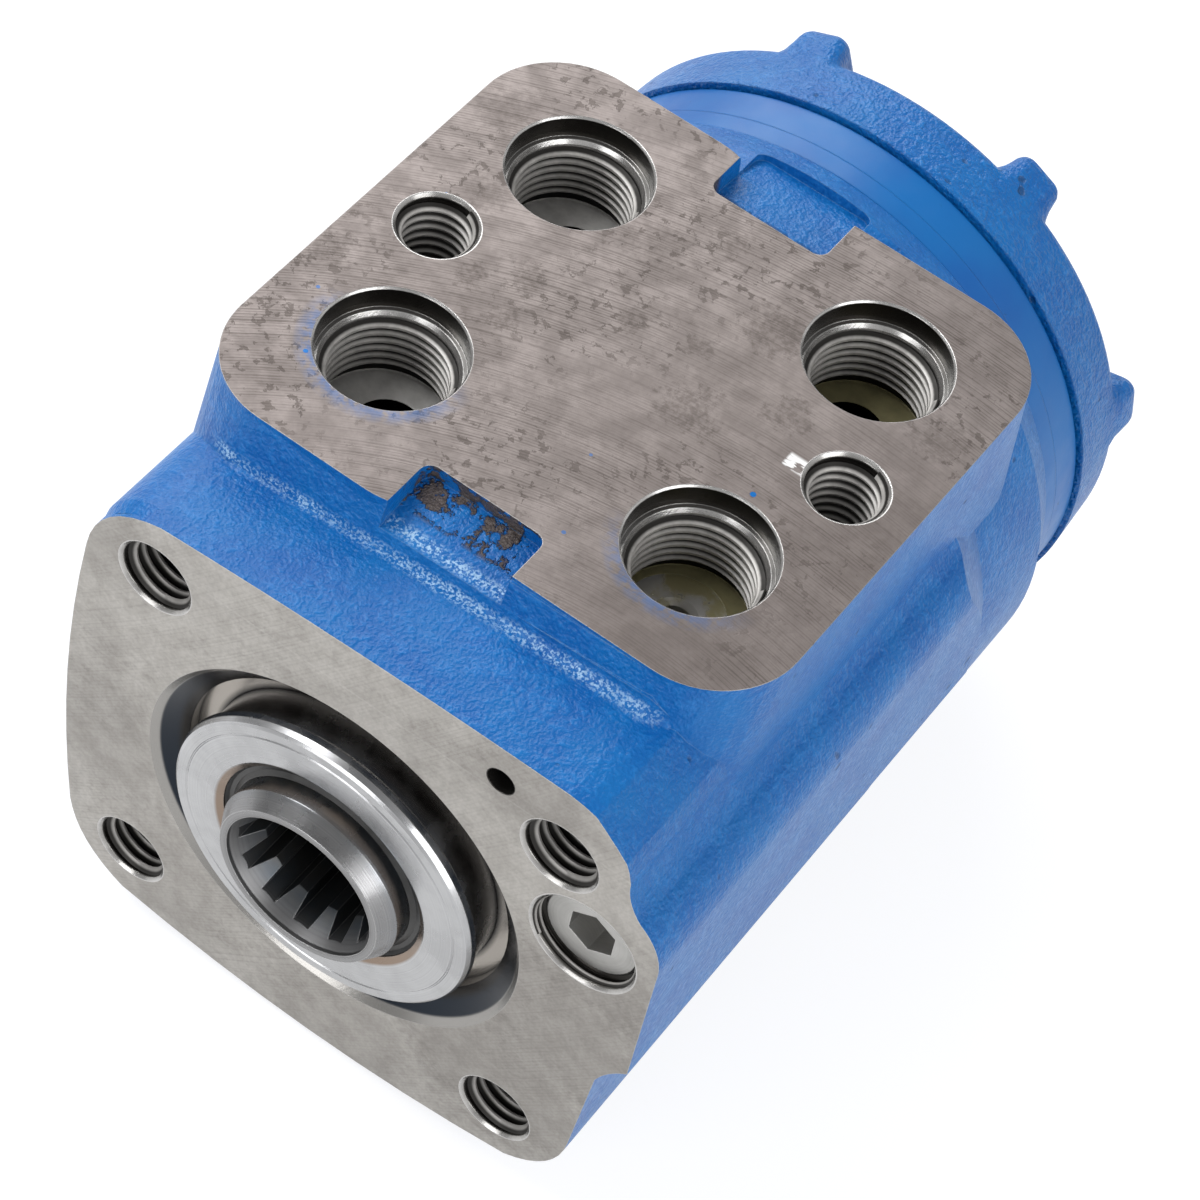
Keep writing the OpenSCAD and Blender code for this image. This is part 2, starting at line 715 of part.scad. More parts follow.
// Ring of four lobes that seals the neck
module shaft_seal() {
    mid_y = (shaft_seal_front_y + shaft_seal_rear_y) / 2;
    mid_r = (neck_r + shaft_seal_r) / 2;
    in_r = neck_r + seal_gap;
    out_r = shaft_seal_r - seal_gap;
    front_y = shaft_seal_front_y + seal_gap;
    rear_y = shaft_seal_rear_y - seal_gap;
    color(rubber) turned([[in_r, front_y], [mid_r, front_y + seal_waist], [out_r, front_y],
        [out_r - seal_waist, mid_y], [out_r, rear_y], [mid_r, rear_y - seal_waist],
        [in_r, rear_y], [in_r + seal_waist, mid_y]]);
}

// A round seal ring about the shaft axis
module o_ring(circle_r, y, r) {
    color(rubber) rotate([-90, 0, 0]) rotate_extrude()
        translate([circle_r, y]) circle(r = r);
}

module gland_o_ring() {
    o_ring(gland_r - gland_o_sink / 2, gland_o_y, gland_o_sink / 2 - seal_gap);
}

module housing_o_ring() {
    o_ring(o_ring_circle_r, housing_len - o_groove_depth / 2, o_ring_r);
}

module plate_o_ring() {
    o_ring(o_ring_circle_r, ring_y - o_groove_depth / 2, o_ring_r);
}

module cover_o_ring() {
    o_ring(o_ring_circle_r, cover_y + o_groove_depth / 2, o_ring_r);
}

// A flat washer of the thrust bearing
module race(y) {
    color(steel) turned([[race_in_r, y], [race_out_r, y], [race_out_r, y + race_t],
        [race_in_r, y + race_t]]);
}

module front_race() {
    race(front_race_y);
}

module rear_race() {
    race(rear_race_y);
}

module needle_cage() {
    color([0.7, 0.6, 0.35]) difference() {
        turned([[cage_in_r, needle_y - cage_half_t], [cage_out_r, needle_y - cage_half_t],
            [cage_out_r, needle_y + cage_half_t], [cage_in_r, needle_y + cage_half_t]]);
        for (k = [0 : needle_count - 1])
            around(360 * k / needle_count)
                translate([needle_in_r - needle_gap, needle_y - over, -needle_r - needle_gap])
                    cube([needle_out_r - needle_in_r + 2 * needle_gap, 2 * over,
                        2 * (needle_r + needle_gap)]);
    }
}

module needles() {
    color(steel) for (k = [0 : needle_count - 1])
        around(360 * k / needle_count) translate([needle_in_r, needle_y, 0])
            rotate([0, 90, 0]) cylinder(r = needle_r, h = needle_out_r - needle_in_r);
}

// Inner valve member: it takes the steering column on its spline
module spool() {
    color(steel) difference() {
        turned([[0, -neck_out], [neck_lip_r, -neck_out], [neck_r, -neck_out + neck_bevel_y],
            [neck_r, sleeve_front_y], [spool_r, sleeve_front_y + spool_r - neck_r],
            [spool_r, spool_rear_y - chip], [spool_r - chip, spool_rear_y], [0, spool_rear_y]]);
        turned([[0, -neck_out - over], [lip_bore_r, -neck_out - over],
            [lip_bore_r, -neck_out + lip_bore_depth], [lead_end_r, -neck_out + lead_depth],
            [0, -neck_out + lead_depth]]);
        slab(-neck_out + lead_start, spline_floor_y) polygon(spline_outline(spline_count,
            spline_tip_r, spline_root_r, spline_gap_tip_half, spline_gap_root_half, spline_turn));
        bar(spool_bore_r, web_rear_y, spool_rear_y + over);
        translate([-slot_half_w, spring_y - slot_half_l, -spool_r - over])
            cube([2 * slot_half_w, 2 * slot_half_l, 2 * (spool_r + over)]);
        for (z = [-1, 1])
            translate([0, pin_y, z * spool_r * sin(pin_play_deg)]) rotate([0, 90, 0])
                cylinder(r = pin_r + pin_slack, h = 2 * (spool_r + over), center = true);
        translate([0, pin_y, 0]) cube([2 * (spool_r + over), 2 * (pin_r + pin_slack - seat_gap),
            2 * spool_r * sin(pin_play_deg)], center = true);
        for (k = [0 : spool_groove_count - 1])
            around(360 * k / spool_groove_count + 180 / spool_groove_count)
                translate([spool_r - spool_groove_deep, spool_groove_front_y, -spool_groove_half_w])
                    cube([spool_groove_deep + over, spool_groove_rear_y - spool_groove_front_y,
                        2 * spool_groove_half_w]);
    }
}

// Outer valve member, turned by the gear set through the cross pin
module sleeve() {
    sleeve_l = sleeve_rear_y - sleeve_front_y;
    color(dark_steel) difference() {
        turned([[sleeve_bore_r, sleeve_front_y], [sleeve_r - chip, sleeve_front_y],
            [sleeve_r, sleeve_front_y + chip], [sleeve_r, spring_y - ring_groove_half_w],
            [ring_groove_r, spring_y - ring_groove_half_w],
            [ring_groove_r, spring_y + ring_groove_half_w],
            [sleeve_r, spring_y + ring_groove_half_w], [sleeve_r, sleeve_rear_y - chip],
            [sleeve_r - chip, sleeve_rear_y], [sleeve_bore_r, sleeve_rear_y]]);
        translate([-slot_half_w, spring_y - slot_half_l, -sleeve_r - over])
            cube([2 * slot_half_w, 2 * slot_half_l, 2 * (sleeve_r + over)]);
        translate([0, pin_y, 0]) rotate([0, 90, 0])
            cylinder(r = pin_r + seat_gap, h = 2 * (sleeve_r + over), center = true);
        for (i = [0 : len(sleeve_hole_rows) - 1], k = [0 : sleeve_hole_counts[i] - 1])
            around(360 * (k + 1 / 2) / sleeve_hole_counts[i])
                translate([spool_r - over, sleeve_front_y + sleeve_l * sleeve_hole_rows[i], 0])
                    rotate([0, 90, 0]) cylinder(r = sleeve_hole_r, h = sleeve_r - spool_r + 2 * over);
    }
}

module cross_pin() {
    color(steel) translate([0, pin_y, 0]) rotate([0, 90, 0])
        cylinder(r = pin_r, h = 2 * (sleeve_r - pin_end_gap), center = true);
}

module neutral_ring() {
    half = ring_groove_half_w - loose_gap;
    color(dark_steel) turned([[ring_groove_r + seat_gap, spring_y - half],
        [sleeve_r - ring_outer_gap, spring_y - half], [sleeve_r - ring_outer_gap, spring_y + half],
        [ring_groove_r + seat_gap, spring_y + half]]);
}

module flat_springs() {
    half_l = ring_groove_r - leaf_end_gap;
    color(dark_steel) for (x = [-1, 0])
        translate([x * (leaf_t + eps) + eps / 2, spring_y - leaf_half_w, -half_l])
            cube([leaf_t, 2 * leaf_half_w, 2 * half_l]);
}

// Two bowed leaves that press the flat ones apart from the slots' sides
module curved_springs() {
    half_l = ring_groove_r - leaf_end_gap - leaf_t;
    near = leaf_t + 2 * eps;
    color(dark_steel) for (s = [-1, 1])
        slab(spring_y - leaf_half_w, spring_y + leaf_half_w)
            polygon(concat(
                [for (i = [-arc_steps : arc_steps]) let(t = i / arc_steps)
                    [s * (near + curved_leaf_bow * pow(t, 2)), half_l * t]],
                [for (i = [-arc_steps : arc_steps]) let(t = -i / arc_steps)
                    [s * (near + curved_leaf_t + curved_leaf_bow * pow(t, 2)), half_l * t]]));
}

// Cardan shaft: forked over the cross pin, splined into the rotor
module drive_shaft() {
    length = rotor_y - pin_y;
    rear = cover_y - pin_y - disc_t - disc_gap - disc_r * tan(shaft_tilt) - shaft_disc_gap;
    color(steel) translate([0, pin_y, 0]) rotate([shaft_tilt, 0, 0]) difference() {
        union() {
            turned([[0, -fork_front_gap], [fork_r - chip, -fork_front_gap],
                [fork_r, -fork_front_gap + chip], [fork_r, fork_len - fork_front_gap],
                [shaft_r, fork_len - fork_front_gap + fork_r - shaft_r],
                [shaft_r, rear - drive_len], [drive_root_r, rear - drive_len + chip],
                [drive_root_r, rear], [0, rear]]);
            intersection() {
                slab(rear - drive_len, rear) polygon(spline_outline(spline_count, drive_tip_r,
                    drive_root_r, drive_gap_tip_half, drive_gap_root_half, spline_turn));
                turned([[0, rear - drive_len], [drive_root_r, rear - drive_len],
                    [drive_tip_r, rear - drive_len + drive_tip_r - drive_root_r],
                    [drive_tip_r, length + ring_t / 4],
                    [drive_tip_r - drive_play, rear], [0, rear]]);
            }
        }
        translate([-fork_r - over, -fork_front_gap - over, -pin_r - fork_slot_play])
            cube([2 * (fork_r + over), fork_front_gap + fork_slot_depth + over,
                2 * (pin_r + fork_slot_play)]);
    }
}

module distribution_plate() {
    color(cast_blue) difference() {
        turned([[0, plate_y], [ring_r - flange_chamfer, plate_y], [ring_r, plate_y + flange_chamfer],
            [ring_r, ring_y], [0, ring_y]]);
        bar(plate_bore_r, plate_y - over, ring_y + over);
        at_screws() bar(screw_r + screw_hole_gap, plate_y - over, ring_y + over);
        for (k = [0 : screw_count - 1])
            around(screw_angle(k) + 180 / screw_count) translate([plate_hole_circle_r, 0, 0])
                bar(plate_hole_r, plate_y - over, ring_y + over);
        turned([[o_ring_circle_r - o_groove_half_w, ring_y - o_groove_depth],
            [o_ring_circle_r + o_groove_half_w, ring_y - o_groove_depth],
            [o_ring_circle_r + o_groove_half_w, ring_y + over],
            [o_ring_circle_r - o_groove_half_w, ring_y + over]]);
    }
}

// Fixed ring whose round teeth the rotor rolls on
module gear_ring() {
    color(cast_blue) difference() {
        bar(ring_r, ring_y, cover_y);
        difference() {
            bar(tooth_circle_r + 2 * orbit_r - tooth_r + rotor_gap, ring_y - over, cover_y + over);
            for (k = [0 : screw_count - 1])
                around(screw_angle(k)) translate([tooth_circle_r, 0, 0])
                    bar(tooth_r, ring_y - 2 * over, cover_y + 2 * over);
        }
        at_screws() bar(screw_r + screw_hole_gap, ring_y - over, cover_y + over);
    }
}

module rotor() {
    half_pitch = 180 / spline_count;
    bore_tip_r = drive_root_r + drive_play;
    bore_root_r = drive_tip_r + drive_play;
    color(steel) translate([0, 0, orbit_r]) difference() {
        slab(ring_y + rotor_side_gap, cover_y - rotor_side_gap)
            polygon([for (i = [0 : rotor_steps - 1]) let(t = 360 * i / rotor_steps)
                rotor_point(t - rotor_bunch * sin(rotor_lobes * t))]);
        slab(ring_y - over, cover_y + over) polygon(spline_outline(spline_count, bore_tip_r,
            bore_root_r, half_pitch - drive_gap_root_half + drive_play_deg,
            half_pitch - drive_gap_tip_half + drive_play_deg, spline_turn + half_pitch));
    }
}

module spacer_disc() {
    color(steel) translate([0, 0, orbit_r])
        bar(disc_r, cover_y - disc_gap - disc_t, cover_y - disc_gap);
}

// One level of a cover lug that points along +X, at station y, with corner radius c
function lug_ring(y, w, r, c) =
    concat([[lug_root_r, y, w], [lug_root_r, y, -w]],
        [for (i = [0 : arc_steps]) let(a = -90 + 90 * i / arc_steps)
            [r - c + c * cos(a), y, -w + c + c * sin(a)]],
        [for (i = [0 : arc_steps]) let(a = 90 * i / arc_steps)
            [r - c + c * cos(a), y, w - c + c * sin(a)]]);

module end_cover() {
    land_r = cover_r * cover_land_r_share;
    color(cast_blue) difference() {
        union() {
            turned(concat([[0, cover_y], [cover_spigot_r, cover_y],
                [cover_spigot_r, cover_y + cover_spigot_t], [cover_r, cover_y + cover_spigot_t]],
                [for (i = [0 : arc_steps]) let(a = 90 * i / arc_steps)
                    [cover_r - cover_draft - cover_round * (1 - cos(a)),
                     cover_rear_y - cover_round * (1 - sin(a))]],
                [[cover_dish_r + cover_dish_slope, cover_rear_y],
                 [cover_dish_r, cover_rear_y - cover_dish_depth],
                 [0, cover_rear_y - cover_dish_depth]]));
            for (k = [0 : screw_count - 1])
                around(screw_angle(k) + lug_turns[k]) loft([for (v = lug_levels)
                    lug_ring(lug_rear_y - (lug_h + lug_root_depth) * (1 - v[0]),
                        lug_half_w * v[1], lug_out_r + v[2], v[3])]);
        }
        at_screws() {
            bar(screw_r + screw_hole_gap, cover_y - over, cover_rear_y + over);
            bar(pocket_r, pocket_y, lug_rear_y + over);
        }
        turned([[o_ring_circle_r - o_groove_half_w, cover_y - over],
            [o_ring_circle_r + o_groove_half_w, cover_y - over],
            [o_ring_circle_r + o_groove_half_w, cover_y + o_groove_depth],
            [o_ring_circle_r - o_groove_half_w, cover_y + o_groove_depth]]);
    }
}

// One cover screw about its own axis
module screw() {
    shank_r = screw_r - seat_gap;
    difference() {
        turned([[0, screw_tip_y], [shank_r - chip, screw_tip_y], [shank_r, screw_tip_y + chip],
            [shank_r, head_y], [head_r, head_y], [head_r, head_y + head_h - head_chamfer],
            [head_r - head_chamfer, head_y + head_h], [0, head_y + head_h]]);
        slab(head_y + head_h - socket_depth, head_y + head_h + over) circle(r = socket_r, $fn = hex_sides);
    }
}

module cover_screws() {
    color(dark_steel) at_screws(1) screw();
}

// The one screw that carries a pin on its end
module pin_screw() {
    color(dark_steel) around(screw_start) translate([screw_circle_r, 0, 0]) {
        screw();
        bar(pin_nose_r, screw_tip_y - pin_nose_len, screw_tip_y + eps);
    }
}

module screw_washers() {
    color(steel) at_screws() difference() {
        bar(washer_r, pocket_y, pocket_y + washer_t);
        bar(screw_r + screw_hole_gap, pocket_y - over, pocket_y + washer_t + over);
    }
}

// Screwed seat of the check valve in the pressure port's floor
module check_seat() {
    color(steel) translate([port_x - gallery_in, port_front_y, seat_low_z]) difference() {
        cylinder(r = check_seat_r, h = check_seat_t);
        translate([0, 0, -over]) cylinder(r = check_hole_r, h = check_seat_t + 2 * over);
        translate([0, 0, check_seat_t - check_flat])
            cylinder(r1 = check_hole_r, r2 = check_hole_r + check_flat, h = check_flat + eps);
    }
}

module check_ball() {
    color(steel) translate([port_x - gallery_in, port_front_y, ball_z]) sphere(r = ball_r);
}

module ball_stop() {
    color(steel) translate([port_x - gallery_in, port_front_y, stop_z]) rotate([0, 90, 0])
        cylinder(r = stop_r, h = 2 * (gallery_r + stop_hold), center = true);
}

module relief_plug() {
    color(steel) translate([relief_x, 0, relief_z]) difference() {
        turned([[0, relief_spot_depth], [relief_thread_r - plug_edge - seat_gap, relief_spot_depth],
            [relief_thread_r - seat_gap, relief_spot_depth + plug_edge],
            [relief_thread_r - seat_gap, plug_rear_y], [0, plug_rear_y]]);
        slab(relief_spot_depth - over, relief_spot_depth + plug_socket_depth)
            rotate(30) circle(r = hex_af / 2 / cos(180 / hex_sides), $fn = hex_sides);
    }
}

module plug_seal() {
    color(rubber) translate([relief_x, 0, relief_z]) turned([[relief_bore_r, plug_rear_y],
        [relief_thread_r - seat_gap, plug_rear_y], [relief_thread_r - seat_gap, plug_rear_y + plug_seal_t],
        [relief_bore_r, plug_rear_y + plug_seal_t]]);
}

module relief_poppet() {
    seat_r = relief_seat_hole_r;
    tip_y = relief_seat_y - seal_gap;
    color(steel) translate([relief_x, 0, relief_z]) turned([
        [0, tip_y - poppet_nose - poppet_len], [poppet_guide_r, tip_y - poppet_nose - poppet_len],
        [poppet_guide_r, tip_y - poppet_nose - poppet_len / 2],
        [poppet_r, tip_y - poppet_nose - poppet_len / 2], [poppet_r, tip_y - poppet_nose],
        [seat_r, tip_y], [0, tip_y]]);
}

module relief_seat() {
    color(steel) translate([relief_x, 0, relief_z]) turned([
        [relief_seat_hole_r, relief_seat_y], [relief_bore_r - seat_gap, relief_seat_y],
        [relief_bore_r - seat_gap, relief_seat_y + relief_seat_t],
        [relief_seat_hole_r, relief_seat_y + relief_seat_t]]);
}

// Points of one ring of the spring's wire at turn t, from 0 to 1
function coil_ring(t, y0, rise) =
    let(a = 360 * spring_turns * t, s = spring_sides)
    [for (j = [0 : s - 1]) let(b = 360 * j / s, r = spring_coil_r + spring_wire_r * cos(b))
        [r * cos(a), y0 + rise * t + spring_wire_r * sin(b), r * sin(a)]];

module relief_spring() {
    y0 = plug_rear_y + spring_wire_r + seal_gap;
    y1 = relief_seat_y - seal_gap - poppet_nose - poppet_len / 2 - spring_wire_r - seal_gap;
    n = spring_turns * spring_steps;
    s = spring_sides;
    points = [for (i = [0 : n]) each coil_ring(i / n, y0, y1 - y0)];
    sides = [for (i = [0 : n - 1], j = [0 : s - 1])
        let(k = (j + 1) % s) each [[i * s + j, i * s + k, (i + 1) * s + j],
            [i * s + k, (i + 1) * s + k, (i + 1) * s + j]]];
    ends = [[for (j = [0 : s - 1]) s - 1 - j], [for (j = [0 : s - 1]) n * s + j]];
    color(dark_steel) translate([relief_x, 0, relief_z])
        polyhedron(points = points, faces = concat(sides, ends));
}

housing();
gland();
wiper_seal();
shaft_seal();
gland_o_ring();
front_race();
needle_cage();
needles();
rear_race();
spool();
sleeve();
cross_pin();
flat_springs();
curved_springs();
neutral_ring();
drive_shaft();
distribution_plate();
gear_ring();
rotor();
spacer_disc();
housing_o_ring();
plate_o_ring();
cover_o_ring();
end_cover();
cover_screws();
pin_screw();
screw_washers();
check_seat();
check_ball();
ball_stop();
relief_plug();
plug_seal();
relief_spring();
relief_poppet();
relief_seat();
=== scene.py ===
"""Looks of an orbital steering unit: paint, bare iron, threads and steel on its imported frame."""

from __future__ import annotations

import json
import logging
import math
from dataclasses import dataclass, field
from enum import Enum

import bmesh
import bpy
from mathutils import Euler, Matrix, Vector

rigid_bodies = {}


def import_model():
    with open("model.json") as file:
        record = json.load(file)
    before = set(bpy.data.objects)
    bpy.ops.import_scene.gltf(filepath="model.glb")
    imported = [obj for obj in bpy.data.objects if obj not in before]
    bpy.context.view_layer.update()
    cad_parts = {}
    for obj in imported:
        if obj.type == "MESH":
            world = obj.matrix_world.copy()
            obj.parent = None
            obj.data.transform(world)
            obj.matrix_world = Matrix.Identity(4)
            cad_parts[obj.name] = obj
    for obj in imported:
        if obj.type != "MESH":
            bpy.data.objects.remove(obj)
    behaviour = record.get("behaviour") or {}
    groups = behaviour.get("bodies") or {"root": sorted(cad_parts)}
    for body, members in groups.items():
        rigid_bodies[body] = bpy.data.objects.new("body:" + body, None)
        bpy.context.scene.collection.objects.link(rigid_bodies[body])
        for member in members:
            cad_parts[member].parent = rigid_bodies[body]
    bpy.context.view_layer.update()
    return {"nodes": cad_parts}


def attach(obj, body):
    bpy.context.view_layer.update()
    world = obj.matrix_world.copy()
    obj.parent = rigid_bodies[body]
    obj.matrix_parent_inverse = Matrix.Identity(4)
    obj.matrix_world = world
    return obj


LOG = logging.getLogger("steering_unit")
MM = 0.001
Colour = tuple[float, float, float, float]
Point = tuple[float, float, float]


class HoleWay(Enum):
    """Which way a hole opens."""

    UP = "up"
    FRONT = "front"


class ThreadForm(Enum):
    """Crest shape of a thread: share of the pitch at the crest's flat, and rounding points."""

    PIPE = (0.30, 3)
    METRIC = (0.16, 2)


class Layer(Enum):
    """Names of the shared shader groups."""

    CAST = "CastSkin"
    WEAR_AND_HIGHLIGHT = "EdgeWearAndHighlight"
    ZONE = "RoundZone"
    STAIN = "Stain"
    MILLED = "MilledLines"
    TURNED = "TurnedLines"


@dataclass(frozen=True)
class Thread:
    """One tapped hole: where it opens and the thread's sizes, in metres."""

    name: str
    mouth: Point
    way: HoleWay
    form: ThreadForm
    major_r: float
    minor_r: float
    pitch: float
    start: float
    length: float
    slot: str = "hard_steel"

    def matrix(self) -> Matrix:
        """Places a hole built along -Z under its mouth."""
        turn = Matrix.Rotation(math.radians(90), 4, "X") if self.way is HoleWay.FRONT else Matrix()
        return Matrix.Translation(Vector(self.mouth)) @ turn


class Graph:
    """Short calls that add and link shader nodes in one node tree."""

    def __init__(self, tree: bpy.types.NodeTree) -> None:
        """Starts on a tree.

        Args:
            tree: The node tree of a material or a group.
        """
        self.tree = tree

    def node(self, kind: str, **settings: object) -> bpy.types.Node:
        """Adds a node.

        Args:
            kind: The node's type name.
            settings: Values for its plain settings.

        Returns:
            The new node.
        """
        made = self.tree.nodes.new(kind)
        for name, value in settings.items():
            setattr(made, name, value)
        return made

    def plug(self, value: object, socket: bpy.types.NodeSocket) -> None:
        """Links a socket or writes a plain value.

        Args:
            value: An output socket, a number, a vector or a colour.
            socket: The input that takes it.
        """
        if isinstance(value, bpy.types.NodeSocket):
            self.tree.links.new(value, socket)
        else:
            socket.default_value = value

    def math(self, kind: str, a: object, b: object = 0.0, c: object = 0.0) -> bpy.types.NodeSocket:
        """Adds a Math node.

        Args:
            kind: The operation.
            a: First value.
            b: Second value.
            c: Third value, where the operation takes one.

        Returns:
            The result.
        """
        made = self.node("ShaderNodeMath", operation=kind)
        for value, socket in zip((a, b, c), made.inputs):
            self.plug(value, socket)
        return made.outputs[0]

    def vector(self, kind: str, a: object, b: object = (0.0, 0.0, 0.0)) -> bpy.types.NodeSocket:
        """Adds a Vector Math node.

        Args:
            kind: The operation.
            a: First vector.
            b: Second vector.

        Returns:
            The vector, or the number for a length or a dot product.
        """
        made = self.node("ShaderNodeVectorMath", operation=kind)
        self.plug(a, made.inputs[0])
        self.plug(b, made.inputs[1])
        return made.outputs["Value" if kind in ("LENGTH", "DOT_PRODUCT", "DISTANCE") else "Vector"]

    def scaled(self, a: object, factor: object) -> bpy.types.NodeSocket:
        """Scales a vector by a number.

        Args:
            a: The vector.
            factor: The number.

        Returns:
            The scaled vector.
        """
        made = self.node("ShaderNodeVectorMath", operation="SCALE")
        self.plug(a, made.inputs[0])
        self.plug(factor, made.inputs["Scale"])
        return made.outputs["Vector"]

    def noise(self, where: object, scale: object, detail: float = 2.0,
              rough: float = 0.5) -> bpy.types.NodeSocket:
        """Adds a Noise Texture.

        Args:
            where: The coordinates.
            scale: Cells per metre.
            detail: Number of finer layers.
            rough: Weight of the finer layers.

        Returns:
            The noise, about 0 to 1.
        """
        made = self.node("ShaderNodeTexNoise", noise_dimensions="3D")
        self.plug(where, made.inputs["Vector"])
        self.plug(scale, made.inputs["Scale"])
        made.inputs["Detail"].default_value = detail
        made.inputs["Roughness"].default_value = rough
        return made.outputs["Fac"]

    def band(self, value: object, low: object, high: object, start: object = 0.0,
             end: object = 1.0, smooth: bool = False) -> bpy.types.NodeSocket:
        """Maps a value from one range to another and clamps it.

        Args:
            value: The value.
            low: Where the range starts.
            high: Where the range ends.
            start: Result at the start.
            end: Result at the end.
            smooth: Whether the ends are eased.

        Returns:
            The mapped value.
        """
        made = self.node("ShaderNodeMapRange", clamp=True)
        made.interpolation_type = "SMOOTHSTEP" if smooth else "LINEAR"
        for given, name in ((value, "Value"), (low, "From Min"), (high, "From Max"),
                            (start, "To Min"), (end, "To Max")):
            self.plug(given, made.inputs[name])
        return made.outputs["Result"]

    def mix(self, share: object, a: object, b: object) -> bpy.types.NodeSocket:
        """Mixes two colours.

        Args:
            share: Share of the second.
            a: First colour.
            b: Second colour.

        Returns:
            The mixed colour.
        """
        made = self.node("ShaderNodeMix", data_type="RGBA")
        self.plug(share, made.inputs[0])
        self.plug(a, made.inputs[6])
        self.plug(b, made.inputs[7])
        return made.outputs[2]

    def blend(self, share: object, a: object, b: object) -> bpy.types.NodeSocket:
        """Mixes two numbers.

        Args:
            share: Share of the second.
            a: First number.
            b: Second number.

        Returns:
            The mixed number.
        """
        made = self.node("ShaderNodeMix", data_type="FLOAT")
        self.plug(share, made.inputs[0])
        self.plug(a, made.inputs[2])
        self.plug(b, made.inputs[3])
        return made.outputs[0]

    def ramp(self, value: object, reach: float, stops: list[tuple[float, Colour]]) -> bpy.types.NodeSocket:
        """Maps a length to a colour through a Color Ramp.

        Args:
            value: The length in metres.
            reach: Length at the ramp's end.
            stops: Lengths in metres, each with its colour.

        Returns:
            The colour.
        """
        made = self.node("ShaderNodeValToRGB")
        self.plug(self.math("DIVIDE", value, reach), made.inputs[0])
        points = made.color_ramp.elements
        for at, colour in stops:
            points.new(at / reach).color = colour
        points.remove(points[0])
        points.remove(points[-1])
        return made.outputs[0]

    def within(self, value: object, low: float, high: float, soft: float) -> bpy.types.NodeSocket:
        """Mask that is 1 between two values and fades outside them.

        Args:
            value: The value.
            low: Lower end.
            high: Upper end.
            soft: Width of each fade.

        Returns:
            The mask.
        """
        rise = self.band(value, low - soft, low)
        return self.math("MULTIPLY", rise, self.band(value, high, high + soft, 1.0, 0.0))

    def most(self, *values: object) -> bpy.types.NodeSocket:
        """Returns the largest of several masks."""
        result = values[0]
        for value in values[1:]:
            result = self.math("MAXIMUM", result, value)
        return result

    def split(self, vector: object) -> list[bpy.types.NodeSocket]:
        """Returns the X, Y and Z of a vector."""
        made = self.node("ShaderNodeSeparateXYZ")
        self.plug(vector, made.inputs[0])
        return [made.outputs[0], made.outputs[1], made.outputs[2]]

    def join(self, x: object, y: object, z: object) -> bpy.types.NodeSocket:
        """Returns a vector of three numbers."""
        made = self.node("ShaderNodeCombineXYZ")
        for value, socket in zip((x, y, z), made.inputs):
            self.plug(value, socket)
        return made.outputs[0]

    def group(self, layer: Layer, **inputs: object) -> bpy.types.Node:
        """Places a shared group.

        Args:
            layer: Which group.
            inputs: Its inputs, with underscores for spaces.

        Returns:
            The group's node.
        """
        made = self.node("ShaderNodeGroup", node_tree=bpy.data.node_groups[layer.value])
        for name, value in inputs.items():
            self.plug(value, made.inputs[name.replace("_", " ")])
        return made


